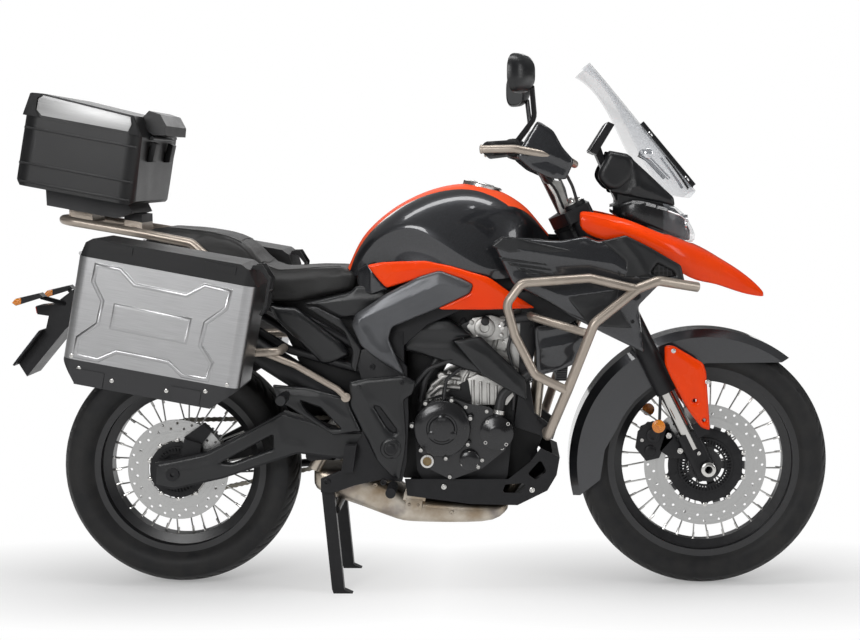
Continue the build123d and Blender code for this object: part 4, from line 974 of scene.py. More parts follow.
# ---------------------------------------------------------------- main frame
# Twin pressed-steel spars run from the steering head down to the pivot plates, with hangers that
# hold the engine in front; all welded and powder coated.
def spar_ring(x, y, z, wide, tall):
    """A box section with rounded corners across one spar on the right."""
    left = box_ring(x, y - wide / 2, y + wide / 2, z - tall / 2, z + tall / 2, 6)
    return [(x, -y, z) for x, y, z in left]


SINE, COSINE = 0.4462, 0.8949  # of the fork's lean
FORK_AXIS = (-SINE, 0, COSINE)


def on_fork(behind, up, y=0.0):
    """A point behind the front axle and up along the fork's lean."""
    return Vector((WHEELBASE - behind * COSINE - up * SINE, y, FRONT_AXLE.z - behind * SINE + up * COSINE))


head_tube = ((24, 0), (31, 0), (31, 8), (28, 12), (28, 146), (31, 150), (31, 158), (24, 158))
pivot_plate = [
    (470, 640), (560, 652), (608, 600), (612, 470), (606, 350), (594, 300), (540, 306), (470, 290), (420, 272),
    (384, 272), (384, 308), (440, 330), (490, 420), (500, 540),
]
hanger = [
    (905, 800), (952, 828), (946, 690), (922, 560), (936, 470), (992, 428), (984, 402), (882, 436), (893.5, 520),
    (898, 700),
]
spar = loft(
    [
        spar_ring(996, 76, 842, 30, 76), spar_ring(900, 92, 812, 32, 72), spar_ring(780, 112, 786, 34, 62),
        spar_ring(660, 126, 736, 32, 62), spar_ring(560, 132, 660, 28, 90),
    ]
)
put_up(
    "frame_spars",
    together(
        both(
            spar, slab(pivot_plate, 158, 146), slab([(520, 540), (600, 540), (600, 690), (520, 680)], 146, 100),
            slab(hanger, 106, 78),
        ),
        turned(on_fork(52, 566), FORK_AXIS, head_tube, 40),
        slab([(972, 806), (1082, 812), (1040, 900), (975, 878)], 24, -24),
        slab([(972, 806), (996, 806), (996, 878), (972, 878)], 70, -70),
        slab([(1050, 850), (1100, 872), (1179, 912), (1179, 985), (1120, 962), (1020, 935)], 26, -26),
        pipe([(560, -146, 600), (560, 146, 600)], 18, 10, 24),
        pipe([(398, -147, 290), (398, -112, 290)], 8, 5),
        pipe([(398, 147, 290), (398, 112, 290)], 8, 5),
    ),
    coated, "frame", ["main_frame"], bevel=2,
)

# ---------------------------------------------------------------- moulded covers and their lacquers
# The painted and grained covers are injection moulded, 3 mm thick, with rolled edges and pressed
# creases; they clip and screw to lugs on the frame.
def rounded(outline, radius, spacing):
    """An outline with its corners rounded off and points at an even spacing."""
    outline = [Vector(p) for p in outline]
    line = []
    count = len(outline)
    for index in range(count):
        before, corner, after = outline[index - 1], outline[index], outline[(index + 1) % count]
        first, second = before - corner, after - corner
        cut_a, cut_b = min(radius, first.length * 0.45), min(radius, second.length * 0.45)
        start, end = corner + first.normalized() * cut_a, corner + second.normalized() * cut_b
        line.extend(corner_arc(start, corner, end, 3))
    spaced = []
    for a, b in zip(line, line[1:] + line[:1]):
        steps = max(1, round((b - a).length / spacing))
        spaced.extend(a.lerp(b, step / steps) for step in range(steps))
    return spaced


def near(spots, line, closed=True):
    """Each spot's distance to a line, as an array."""
    line = np.array([(p[0], p[1]) for p in line])
    ends = np.roll(line, -1, axis=0) if closed else line[1:]
    starts = line if closed else line[:-1]
    way = ends - starts
    length = np.maximum((way**2).sum(axis=1), 1e-9)
    best = np.full(len(spots), 1e9)
    for start, direction, square in zip(starts, way, length):
        share = np.clip(((spots - start) @ direction) / square, 0, 1)
        gap = spots - start - share[:, None] * direction
        best = np.minimum(best, (gap**2).sum(axis=1))
    return np.sqrt(best)


def within(spots, line):
    """Which spots lie inside a closed line."""
    found = np.zeros(len(spots), bool)
    line = [(p[0], p[1]) for p in line]
    for (ax, az), (bx, bz) in zip(line, line[1:] + line[:1]):
        crosses = (az > spots[:, 1]) != (bz > spots[:, 1])
        with np.errstate(divide="ignore", invalid="ignore"):
            limit = ax + (spots[:, 1] - az) * (bx - ax) / (bz - az if bz != az else 1e-9)
        found ^= crosses & (spots[:, 0] < limit)
    return found


def on_panel(spots, loops):
    """Which spots lie inside the first loop and outside the holes after it."""
    fits = within(spots, loops[0])
    for hole in loops[1:]:
        fits &= ~within(spots, hole)
    return fits


ROLL_SHARES = 0.12, 0.4, 0.75, 1.15  # of an edge's roll, where points stand
CROWDED = 0.09  # share of the roll within which a point is too near to the edge
COLUMN = 0.87  # distance between the grid's columns to its spacing
HOLE_CORNER = 0.6  # a hole's corner radius to the outline's
SNAP = 0.05  # millimetres within which the points of a panel are one


def panel(outline, base, rise, roll=6.0, corner=6.0, spacing=7.0, ridges=(), holes=(), bend=None, depth=3.0):
    """A moulded cover on the right side, base to base + rise from the middle plane.
    ridges are (line, lift, reach); bend gives a further offset at x, z."""
    loops = [rounded(outline, corner, spacing)] + [rounded(hole, corner * HOLE_CORNER, spacing) for hole in holes]
    spots = [tuple(p) for loop in loops for p in loop]
    rim = np.array(spots)
    for loop in loops:
        for before, here, after in zip(loop[-1:] + loop[:-1], loop, loop[1:] + loop[:1]):
            along = (after - before).normalized()
            for share in ROLL_SHARES:
                for way in (1, -1):
                    spot = here + Vector((-along.y, along.x)) * (roll * share * way)
                    spots.append((spot.x, spot.y))
    low, high = rim.min(axis=0), rim.max(axis=0)
    # The middle is filled with a triangular grid, every second column half a step higher.
    x = low[0] + spacing * 0.5
    shift = 0
    while x < high[0]:
        z = low[1] + shift
        while z < high[1]:
            spots.append((x, z))
            z += spacing
        shift = spacing / 2 - shift
        x += spacing * COLUMN
    for line, _, _ in ridges:
        for a, b in zip(line, line[1:]):
            a, b = Vector(a), Vector(b)
            steps = max(1, int((b - a).length / spacing))
            spots.extend(tuple(a.lerp(b, step / steps)) for step in range(steps + 1))
    spots = np.array(spots)
    gaps = np.min([near(spots, loop) for loop in loops], axis=0)
    keep = on_panel(spots, loops) & (gaps > roll * CROWDED)
    keep[: len(rim)] = True
    spots = spots[keep]
    loop_indices, start = [], 0
    for loop in loops:
        loop_indices.append(list(range(start, start + len(loop))))
        start += len(loop)
    edges = [(a, b) for loop in loop_indices for a, b in zip(loop, loop[1:] + loop[:1])]
    made, _, triangles, origin, _, _ = delaunay_2d_cdt([Vector(s) for s in spots], edges, [], 0, SNAP)
    made = np.array([(p.x, p.y) for p in made])
    centres = np.array([made[list(t)].mean(axis=0) for t in triangles])
    fits = on_panel(centres, loops)
    gaps = np.min([near(made, loop) for loop in loops], axis=0)
    share = np.clip(gaps / roll, 0, 1)
    height = rise * np.sqrt(1 - (1 - share) ** 2)
    for line, lift, wide in ridges:
        height += lift * np.clip(1 - near(made, line, closed=False) / wide, 0, 1) * np.clip(gaps / wide, 0, 1)
    points = []
    for (px, pz), up in zip(made, height):
        further = bend(px, pz) if bend else 0.0
        points.append(Vector((px, -(base + up + further), pz)))
    faces = [list(t) for t, good in zip(triangles, fits) if good]
    renumber = {old: new for new, olds in enumerate(origin) for old in olds}
    for loop in loop_indices:
        first = len(points)
        points.extend(points[renumber[i]] + Vector((0, depth, 0)) for i in loop)
        for step in range(len(loop)):
            following = (step + 1) % len(loop)
            faces.append([renumber[loop[step]], renumber[loop[following]], first + following, first + step])
    return points, faces


orange = Finish(
    "orange_lacquer", (0.85, 0.07, 0.004), 0.24, slot="orange", Coat_Weight=0.2, Coat_Roughness=0.06,
    Specular_IOR_Level=0.14,
)
orange.mottle((0.08, 3), (0.96, 0.046, 0.001), (1.0, 0.074, 0.002), 0.12, 0.2)
orange.bump((0.0006, 1), 0.00002)

graphite = Finish(
    "graphite_lacquer", (0.03, 0.032, 0.037), 0.28, 0.5, slot="dark_gloss", Coat_Weight=1.0, Coat_Roughness=0.05,
)
cloud = graphite.speckle(0.1, 3)
flake = graphite.speckle(0.0007, 1)
graphite.put("Base Color", graphite.blend(flake.step(0.4, 0.7), (0.012, 0.0125, 0.0145), (0.05, 0.052, 0.059)))
graphite.put("Roughness", cloud * 0.14 + 0.24)
graphite.bump(flake, 0.00002)

satin = Finish("satin_moulding", (0.026, 0.027, 0.03), 0.4, slot="black_plastic", Specular_IOR_Level=0.45)
satin.mottle((0.09, 4), (0.007, 0.0075, 0.0085), (0.018, 0.0185, 0.02), 0.14, 0.24)
satin.bump(satin.cells(1300.0), 0.00012)
# The spar covers are the black moulding made lighter grey and part metallic: a painted sheen of the light from
# above.
spar_painted_sheen = Finish("spar_black_with_painted_sheen", (0.09, 0.092, 0.097), 0.34, 0.55, slot="black_plastic", Specular_IOR_Level=0.5)
spar_painted_sheen.mottle((0.12, 3), (0.06, 0.062, 0.067), (0.12, 0.123, 0.13), 0.12, 0.28)
spar_painted_sheen.bump((0.0007, 1), 0.00003)

# ---------------------------------------------------------------- swingarm walls and covers round the cylinder
# Pressed walls close the swingarm's sides and folded dark mouldings guide air past the cylinder;
# the airbox and the throttle body, both moulded, fill the space under the tank.
arm = [
    (590, 412), (430, 434), (288, 478), (200, 430), (84, 370), (10, 354), (-44, 344),
    (-48, 288), (0, 278), (130, 308), (325, 374), (430, 360), (590, 368),
]
put_up(
    "swingarm_outer_walls",
    both(
        panel(
            arm, 139, 6.4, 8, 8, 7,
            holes=([(122, 347), (260, 420), (260, 384), (152, 344)],),
            ridges=(
                ([(-30, 318), (60, 330), (110, 342)], 2.5, 22), ([(268, 470), (280, 400), (330, 388)], 2.5, 20),
            ),
            depth=8,
        )
    ),
    satin, "frame", sharp=50,
)
flank = [
    (576, 698), (633, 722), (718, 716), (777, 674), (724, 662), (831, 567), (760, 585), (683, 614), (623, 632),
    (600, 635),
]
blade = [(725, 665), (796, 676), (913, 564), (914, 510), (801, 575)]
put_up(
    "cylinder_covers",
    both(
        panel(
            flank, 112, 9, 9, 6, 7,
            ridges=(
                ([(590, 690), (700, 690), (768, 676)], 3, 18), ([(612, 640), (720, 640), (820, 572)], 3, 18),
            ),
        ),
        panel(blade, 136, 5, 7, 6, 7, ridges=(([(735, 666), (810, 625), (908, 530)], 3, 18),)),
    ),
    satin, "frame", sharp=50,
)
airbox = [
    (610, 700), (690, 712), (770, 694), (860, 724), (930, 770), (930, 800), (700, 796), (560, 740), (560, 700),
]
put_up(
    "airbox_and_throttle",
    together(
        slab(airbox, 84, -84),
        slab([(590, 290), (650, 290), (664, 480), (668, 540), (676, 584), (640, 640), (606, 640)], 62, -62),
        slab([(600, 560), (640, 520), (690, 560), (730, 640), (720, 700), (620, 690)], 64, -64),
        pipe([(690, -40, 660), (740, -40, 668)], 27, 5, 24),
    ),
    tough_plastic, "frame", bevel=6,
)

# ---------------------------------------------------------------- fuel tank
# A pressed steel tank under a moulded shell, lacquered graphite with an orange stripe along its
# spine; the filler cap is turned aluminium.
tank_rings = (  # x, crown z, then y and z of shoulder, upper side, crease, knee and lower edge
    (446, 842, 40, 842, 70, 838, 78, 834, 79, 826, 78, 816),
    (476, 918, 56, 913, 100, 892, 108, 852, 106, 840, 104, 826),
    (511, 959, 70, 954, 116, 930, 127, 912, 121, 886, 118, 860),
    (565, 1004, 84, 998, 132, 972, 146, 950, 138, 912, 138, 868),
    (616, 1032, 92, 1026, 142, 996, 160, 962, 150, 915, 154, 870),
    (663, 1052, 94, 1045, 144, 1012, 169, 944, 161, 905, 163, 868),
    (721, 1067, 92, 1059, 142, 1022, 171.5, 904, 168, 880, 168, 856),
    (778, 1069, 88, 1061, 138, 1020, 171.5, 868, 170, 855, 168, 840),
    (826, 1057, 82, 1048, 130, 1004, 168, 846, 166, 835, 162, 822),
    (872, 1038, 74, 1028, 118, 984, 150, 850, 146, 840, 142, 826),
    (914, 1008, 62, 998, 92, 962, 116, 864, 113, 850, 110, 836),
    (934, 984, 46, 976, 58, 950, 62, 880, 61, 868, 60, 858),
    (972, 936, 36, 932, 48, 920, 50, 890, 49, 880, 48, 872),
)


def arch(x, crown, *pairs):
    """A symmetrical ring across the machine from its lower right edge over the crown."""
    right = [(x, -y, z) for y, z in zip(pairs[::2], pairs[1::2])]
    left = [(x, -y, z) for _, y, z in right]
    return right[::-1] + [(x, 0, crown)] + left


tank_piece = put_up(
    "tank_shell", loft([arch(*row) for row in tank_rings], closed=False), graphite, "frame", ["tank"], 75, levels=2
)
CREASE_AT = 6, 7  # where the crease's y and z stand in a row of the table
CREASE = 0.75
work = bmesh.new()
work.from_mesh(tank_piece.data)
crease = work.edges.layers.float.new("crease_edge")
for edge in work.edges:
    a, b = edge.verts
    if abs(a.co.x - b.co.x) <= 0.005:
        continue
    for row in tank_rings:
        point = at(row[0], *(row[index] for index in CREASE_AT))
        if (Vector((a.co.x, abs(a.co.y), a.co.z)) - point).length < 1e-5:
            edge[crease] = CREASE
work.to_mesh(tank_piece.data)
work.free()

spine = Finish("graphite_with_stripe", (0.03, 0.032, 0.037), 0.28, 0.5, slot="dark_gloss", Coat_Roughness=0.05)
x, y, _ = spine.place()
flake = spine.speckle(0.0007, 1)
# The stripe is 180 mm wide and narrows in front of the cap.
on_stripe = abs(y) < 0.09 - (x - (REAR_AXLE + 868) / 1000).step(0, 0.07) * 0.052
dark = spine.blend(flake.step(0.4, 0.7), (0.012, 0.0125, 0.0145), (0.05, 0.052, 0.059))
spine.put("Base Color", spine.blend(on_stripe, dark, (0.95, 0.078, 0.003)))
spine.put("Metallic", (1 - on_stripe) * 0.5)
spine.put("Coat Weight", 1 - on_stripe)
spine.put("Roughness", spine.speckle(0.1, 3) * 0.14 + on_stripe * 0.3 + 0.24)
spine.bump(flake, 0.00002)
tank_piece.data.materials[0] = spine.material
cap = ((52, -8), (52, 4), (47, 7), (34, 7.5), (30, 6), (28, 9), (12, 9.5), (0, 9.5))
put_up("fuel_cap", turned((800, 0, 1058), (0.27, 0, 1), cap, 48), steel, "frame")

# ---------------------------------------------------------------- orange bands and dark covers
# The orange band sweeps from the seat to the fairing below the tank. The spar covers below it are the
# black moulding, painted lighter metallic grey as a painted sheen; the pivot covers and the seat's side
# panels are grained satin plastic.
band = [
    (509, 861), (545, 868), (582, 870), (657, 872), (721, 859), (819, 830), (872, 792), (936, 752), (819, 748),
    (697, 748), (690, 753), (770, 790), (777, 812), (747, 828), (689, 842), (558, 803), (541, 821),
]
put_up(
    "orange_bands",
    both(panel(band, 174.6, 5.2, 6, 8, 7, ridges=(([(560, 842), (690, 856), (800, 822), (900, 760)], 1.2, 12),))),
    orange, "frame", ["side_bands"], 50,
)

spar_cover = [
    (479, 736), (560, 790), (640, 832), (694, 848), (747, 828), (779, 812), (770, 790), (692, 753), (572, 704),
    (563, 674), (604, 577), (568, 600), (533, 622), (492, 657), (470, 709),
]
pivot_cover = [
    (461, 499), (458, 561), (502, 570), (599, 579), (632, 561), (622, 528), (599, 514), (602, 484),
    (606, 418), (601, 371), (588, 306), (565, 317), (530, 356),
]
put_up(
    "spar_covers",
    both(
        panel(
            spar_cover, 181, 8, 20, 8, 7,
            ridges=(
                ([(486, 722), (560, 752), (690, 812), (760, 806)], 3.5, 20),
                ([(486, 716), (520, 660), (590, 592)], 3.5, 18),
            ),
            bend=lambda x, z: -12 * max(0.0, (640 - z) / 60),
        )
    ),
    spar_painted_sheen, "frame", ["side_covers"], 50,
)
put_up(
    "pivot_covers",
    both(
        panel(
            pivot_cover, 159, 8, 15, 8, 7,
            ridges=(([(470, 560), (530, 480), (590, 330)], 2.5, 24),),
            holes=([(522, 499), (537, 496), (581, 436), (575, 427), (557, 442), (531, 484)],),
        ),
        turned((566, -166, 389), RIGHT, ((27, -6), (27, 2), (24, 5), (18, 5.2), (17, 2), (0, 2)), 40),
    ),
    satin, "frame", ["side_covers"], 50,
)
put_up(
    "tank_tail_covers",
    both(
        panel(
            [(482, 846), (509, 863), (541, 821), (562, 797), (522, 784), (487, 788), (480, 814)], 150, 6, 6, 6, 7,
            bend=lambda x, z: -20 * max(0.0, (520 - x) / 40),
        )
    ),
    graphite, "frame", ["side_covers"], 50,
)
seat_flank = [
    (251, 758), (285, 752), (322, 750), (353, 728), (440, 660), (461, 627), (411, 604), (387, 604),
    (328, 663), (272, 716),
]
rear_edge = [(347, 755), (379, 754), (441, 722), (493, 648), (478, 584), (464, 600), (470, 640), (449, 690)]
rear_plate = [
    (340, 760), (462, 788), (478, 806), (541, 806), (566, 772), (520, 745), (484, 729), (437, 723), (379, 752),
]
put_up(
    "seat_side_panels",
    both(
        panel(seat_flank, 131, 13, 15, 8, 7, ridges=(([(262, 748), (345, 716), (446, 640)], 2.5, 18),)),
        panel(rear_edge, 158.5, 7, 6, 6, 6),
        panel(rear_plate, 140, 7, 8, 8, 7, ridges=(([(360, 760), (470, 770), (556, 774)], 3, 16),)),
    ),
    satin, "frame", ["seat_panels"], 50,
)
guard = [
    (250, 790), (470, 796), (560, 760), (560, 600), (500, 480), (452, 470), (330, 590), (310, 640), (270, 720),
]
put_up("inner_guards", both(slab(guard, 100, 96)), tough_plastic, "frame", bevel=1)
hanger_plate = [
    (263, 553), (357, 545), (440, 524), (461, 512), (461, 499), (492, 432), (418, 422), (303, 497), (277, 509),
]
hanger_window = [(334, 512), (386, 494), (419, 459), (437, 441), (410, 441), (350, 485)]
put_up(
    "pillion_foot_hangers",
    both(
        panel(
            hanger_plate, 158.6, 9, 9, 6, 6, holes=(hanger_window,),
            ridges=(([(272, 530), (380, 520), (446, 470)], 2.5, 14),), depth=6,
        ),
        pipe([(300, -166, 530), (300, -206, 528)], 9, 4, 16),
        turned((300, -204, 528), RIGHT, ((9, 0), (13, 1), (14, 8), (14, 62), (12, 66), (0, 66)), 24),
    ),
    satin, "frame", ["foot_hangers"], 50,
)
put_up(
    "pivot_bolts",
    both(washer_nut((566, -166, 389), RIGHT, 12, 8), screws((486, 166, 548, 6, 3), (596, 168, 560, 6, 3))),
    coated, "frame",
)

# ---------------------------------------------------------------- fairing
# Graphite side wings with a grained inner wing below and a honeycomb inlet at the nose. Each is a
# thin moulding with rolled edges, screwed to the frame's nose and to the next one.
wing = [
    (826, 920), (855, 934), (998, 924), (1061, 936), (1093, 923), (1161, 934), (1204, 906), (1241, 876),
    (1292, 849), (1304, 828), (1250, 815), (1196, 760), (1211, 640), (1106, 690), (1020, 735), (965, 770),
    (877, 815),
]
inlet = [(1225, 843), (1242, 868), (1280, 848), (1288, 836), (1250, 829)]
put_up(
    "fairing_wings",
    both(
        panel(
            wing, 187, 12, 9, 8, 8,
            ridges=(
                ([(840, 915), (1000, 884), (1130, 866), (1216, 820), (1296, 832)], 4.5, 34),
                ([(890, 820), (1010, 784), (1130, 800), (1190, 770)], 3.5, 26),
                ([(1190, 770), (1200, 700), (1208, 650)], 3, 16),
            ),
            holes=(inlet,),
        )
    ),
    graphite, "frame", ["fairing"], 50,
)
blade_trim = [(823, 910), (851, 935), (887, 932), (960, 915), (1039, 898), (966, 889), (869, 892)]
nose_trim = [
    (1100, 923), (1161, 938), (1216, 911), (1301, 862), (1311, 819), (1222, 828), (1155, 828), (1161, 871),
    (1137, 892),
]
slats = [
    [
        (842 + 22 * i, 884 - 13 * i), (960 + 12 * i, 868 - 13 * i), (966 + 12 * i, 861 - 13 * i),
        (850 + 22 * i, 874 - 13 * i),
    ]
    for i in range(4)
]
put_up(
    "fairing_trim",
    both(
        panel(blade_trim, 197.5, 5, 6, 5, 6),
        panel(
            nose_trim, 197.5, 6, 8, 6, 6, holes=(inlet,),
            ridges=(([(1150, 930), (1190, 880), (1216, 834)], 2, 14),),
        ),
        *(panel(slat, 198.6, 3, 3, 3, 6) for slat in slats),
    ),
    satin, "frame", sharp=50,
)
honeycomb = Finish("inlet_mesh", (0.012, 0.012, 0.013), 0.55, slot="black_plastic")
cells = honeycomb.cells(95.0, "DISTANCE_TO_EDGE", Randomness=0.0)
bar = cells.step(0.16, 0.1)
# The cells' insides are painted near black as painted shade in the mesh's holes; the bars between them keep the
# moulding's colour and are raised.
honeycomb.put("Base Color", honeycomb.blend(bar, (0.002, 0.002, 0.002), (0.045, 0.045, 0.048)))
honeycomb.bump(bar, 0.0015)
put_up("inlet_meshes", both(panel(inlet, 190, 1, 3, 3, 6)), honeycomb, "frame")
lower_wing = [
    (1159, 860), (1135, 854), (1151, 822), (1141, 769), (1180, 703), (1072, 710), (1010, 786), (1136, 803),
]
put_up(
    "fairing_lower_wings",
    both(panel(lower_wing, 199, 3.4, 5, 6, 8, ridges=(([(1040, 750), (1120, 760), (1148, 800)], 1.6, 18),))),
    satin, "frame", sharp=50,
)
shroud = [(934, 701), (1034, 714), (1062, 676), (1058, 640), (1040, 606), (1005, 590), (940, 572)]
put_up(
    "radiator_shrouds",
    both(panel(shroud, 138, 7, 12, 8, 7, ridges=(([(936, 640), (1046, 662)], 3, 26),))),
    graphite, "frame", sharp=50,
)
inner_wing = [(869, 795), (951, 784), (1060, 780), (1080, 740), (1034, 716), (999, 701), (940, 737), (905, 740)]
put_up("fairing_inner_panels", both(slab(inner_wing, 150, 146)), tough_plastic, "frame", bevel=1)
put_up(
    "front_mounting",
    slab([(864, 514), (941, 461), (960, 400), (930, 330), (882, 290), (864, 290)], 42, -42),
    tough_plastic, "frame", bevel=6,
)
put_up(
    "fairing_screws",
    both(screws((905, 199.5, 850, 5, 2), (1186, 201, 880, 5, 2), (1180, 200, 720, 5, 2))),
    coated, "frame",
)

# ---------------------------------------------------------------- beak
# The moulded orange beak covers the lamp's top and runs out to a thin tip; its underside is open.
# It is lacquered like the bands and screwed down beside the lamp and under the wings.
beak_rings = (  # x, half width, lower edge, shoulder, crown
    (1046, 174, 956, 992, 1003), (1084, 180, 926, 988, 1001), (1160, 184, 918, 966, 990),
    (1210, 186, 898, 946, 968), (1268, 174, 868, 920, 944), (1310, 156, 838, 900, 928),
    (1350, 128, 818, 880, 912), (1390, 104, 812, 864, 892), (1420, 84, 803, 847, 873),
    (1460, 63, 788, 826, 850), (1494, 44, 778, 803, 826), (1522, 26, 773, 787, 803), (1542, 12, 771, 775, 781),
)
rings = []
for x, half, low, shoulder, crown in beak_rings:
    rise = crown - shoulder
    rings.append(
        arch(
            x, crown, half * 0.3, crown - 0.5, half * 0.6, crown - rise * 0.08,
            half * 0.87, shoulder + rise * 0.72, half, shoulder, half, (shoulder + low) / 2, half * 0.97, low,
        )
    )
inner = [[Vector((x, y * 0.965, z - 4)) for x, y, z in ring] for ring in rings]
count = len(rings[0])
total = count * len(rings)
outer_points = [Vector(p) for ring in rings for p in ring]
faces, rims = [], {}
for index, ring in enumerate(rings[:-1]):
    # The middle is open behind the nose, where the lamp and the fork's head stand.
    opening = 3 if ring[0][0] < 1260 else 4 if ring[0][0] < 1340 else count
    for column in range(count - 1):
        if opening <= column < count - 1 - opening:
            continue
        first = index * count + column
        cell = [first, first + 1, first + 1 + count, first + count]
        faces.append(cell)
        faces.append([p + total for p in cell[::-1]])
        for a, b in zip(cell, cell[1:] + cell[:1]):
            if (b, a) in rims:
                del rims[(b, a)]
            else:
                rims[(a, b)] = True
faces.extend([b, a, a + total, b + total] for a, b in rims)
beak_part = (outer_points + [p for ring in inner for p in ring], faces)
put_up("beak_shell", beak_part, orange, "frame", ["beak"], 60, levels=1)

# ---------------------------------------------------------------- headlight and its cowl
# A moulded housing on the frame's nose behind a clear polycarbonate lens, with light guides and
# two projector units; the cowl rises to carry the screen.
housing_rows = (  # x, half width, lowest and highest z
    (1138, 60, 990, 1010), (1160, 92, 974, 1018), (1194, 102, 962, 1027), (1231, 102, 950, 1021),
    (1262, 97, 938, 1013), (1297, 84, 926, 1002), (1325, 62, 918, 976), (1342, 36, 918, 946),
)
lens_rows = (
    (1266, 99.5, 934, 1015), (1297, 90, 920, 1008), (1330, 70, 912, 982), (1350, 44, 914, 948),
    (1357, 24, 920, 934),
)


def lamp_skin(rows):
    """A box with rounded corners and an open end, from rows of x, half width and two heights."""
    return loft(
        [box_ring(x, -half, half, low, high, min(14, (high - low) * 0.4)) for x, half, low, high in rows],
        closed=False,
    )


BAR_WIDE, BAR_HALF = 2.5, 4  # a light guide's thickness and half its height
bowl = ((0, -2), (16, 0), (22, 8), (24, 16), (25.5, 16), (24, 7), (17, -2), (0, -4))
guides, bowls = [], []
for hand in (-1, 1):
    for start, end, z_start, z_end in ((1184, 1216, 1019, 1016), (1220, 1246, 1014, 1008), (1250, 1276, 1006, 999)):
        ends = []
        for x, y, z in ((start, 101, z_start), (end, 98, z_end)):
            low, high, out = z - BAR_HALF, z + BAR_HALF, hand * (y + BAR_WIDE)
            ends.append([(x, hand * y, low), (x, out, low), (x, out, high), (x, hand * y, high)])
        guides.append(loft(ends))
    guides.append(pipe([(1278, hand * 90, 996), (1312, hand * 74, 984), (1334, hand * 52, 968)], 3, 20, 12))
    bowls.append(turned((1316, hand * 34, 962), (1, 0, -0.12), bowl, 32))
put_up(
    "lamp_housing",
    together(lamp_skin(housing_rows), pipe([(1215, -160, 942), (1215, 160, 942)], 8, 4, 16)),
    cover_gloss, "frame", ["headlight"], 50,
)
cowl = [
    (1124, 1151), (1174, 1142), (1193, 1123), (1224, 1095), (1294, 1030), (1297, 1008), (1232, 1022), (1169, 1034),
    (1131, 1042),
]
pod = [
    (1126, 1151), (1182, 1139), (1195, 1117), (1186, 1078), (1150, 1046), (1122, 1050), (1098, 1080), (1100, 1100),
    (1114, 1124),
]
cowl_folds = (([(1190, 1100), (1200, 1060), (1176, 1040)], 3, 12), ([(1186, 1064), (1290, 1020)], 2.5, 14))
put_up(
    "screen_cowl",
    together(
        both(panel(cowl, 80, 7, 8, 6, 6, ridges=cowl_folds), panel(pod, 80, 12, 16, 14, 6)),
        slab([(1150, 1012), (1150, 1040), (1182, 1072), (1202, 1078), (1286, 1018), (1296, 1006)], 82, -82),
    ),
    satin, "frame", sharp=50,
)
clear = Finish("clear_plastic", (0.62, 0.65, 0.7), 0.04, slot="clear", IOR=1.5)
edge_on = clear.node("ShaderNodeLayerWeight", out=1, Blend=0.32)
scuff = clear.speckle(0.03, 4)
clear.put("Alpha", edge_on * 0.42 + scuff * 0.01 + 0.06)
clear.put("Roughness", scuff * 0.06 + 0.02)
clear.bump((0.12, 1), 0.0002)
dress(clear, "windscreen")
put_up("lamp_lens", lamp_skin(lens_rows), clear, "frame", ["headlight_lens"], 50)

# ---------------------------------------------------------------- windscreen's guides and struts
# The clear polycarbonate screen is bent warm and slides between two moulded black strips; chromed
# struts stay it to the cowl and knobs clamp it.
SCREEN_SLOPE = Vector((-0.6468, 0, 0.7627))
SCREEN_NORMAL = Vector((0.7627, 0, 0.6468))
SCREEN_FOOT = Vector((1359, 0, 1048))
screen_sections = ((0, 70, 26), (94, 148, 70), (219, 168, 50), (432, 174, 36))  # distance up, half width, depth


def on_screen(up, y, out=0.0):
    """A point on the screen's front face, a distance up its slope and off the middle."""
    for (u0, h0, d0), (u1, h1, d1) in zip(screen_sections, screen_sections[1:]):
        if up <= u1:
            break
    share = (up - u0) / (u1 - u0)
    half, deep = h0 + (h1 - h0) * share, d0 + (d1 - d0) * share
    radius = (half * half + deep * deep) / (2 * deep)
    sag = radius - math.sqrt(max(radius * radius - y * y, 0.0))
    return SCREEN_FOOT + SCREEN_SLOPE * up + Vector((0, y, 0)) - SCREEN_NORMAL * (sag - out)


def screen_strip(low, high, *section):
    """A strip up the screen's face: where it starts and ends, then y and height of its corners."""
    steps = 12
    ups = [low + (high - low) * step / steps for step in range(steps + 1)]
    return loft([[on_screen(up, y, out) for y, out in section] for up in ups])


SUNK, PROUD = -0.3, 2.2
strips = []
for hand in (-1, 1):
    for low, high, y0, y1 in ((12, 215, hand * 22, hand * 34), (20, 120, hand * 60, hand * 68)):
        strips.append(screen_strip(low, high, (y0, SUNK), (y0, PROUD), (y1, PROUD), (y1, SUNK)))
strips.append(screen_strip(12, 226, (-15, SUNK), (-13, 11), (13, 11), (15, SUNK)))
put_up("screen_guides", together(*strips), satin, "frame", bevel=0.6)
knobs, struts = [], []
for hand in (-1, 1):
    for up in (40, 190):
        knobs.append(turned(on_screen(up, hand * 28, 1.5), SCREEN_NORMAL, ((9, 0), (9, 3), (7, 4.5), (0, 5)), 20))
    struts.append(pipe([(1214, hand * 60, 1140), (1236, hand * 60, 1128), (1284, hand * 60, 1078)], 4.5, 10, 12))
    struts.append(turned((1228, hand * 62, 1143), (0, hand, 0), ((11, -6), (13, -4), (13, 5), (9, 8), (0, 8)), 24))
chrome = Finish("chrome_plate", (0.86, 0.86, 0.86), 0.08, 1.0, slot="chrome")
chrome.put("Roughness", chrome.speckle(0.02, 4) * 0.1 + 0.04)
chrome.put("Base Color", chrome.blend(chrome.speckle(0.05, 3), (0.74, 0.74, 0.75), (0.9, 0.9, 0.9)))
chrome.bump((0.004, 2), 0.00003)
put_up("screen_knobs", together(*knobs), chrome, "frame")
put_up("screen_struts", together(*struts), chrome, "frame")
put_up("lamp_guides_and_bowls", together(*guides, *bowls), chrome, "frame")

# ---------------------------------------------------------------- rack
# Bent steel tube, welded and lacquered champagne, with a black moulded plate for the top case. It
# bolts to the subframe's ends; the crash bars are made the same way and clamp round the engine.
champagne = Finish("champagne_lacquer", (0.42, 0.36, 0.3), 0.32, 0.6, slot="champagne")
champagne.mottle((0.05, 4), (0.33, 0.28, 0.235), (0.47, 0.41, 0.35), 0.16, 0.26)
champagne.bump((0.001, 2), 0.00008)

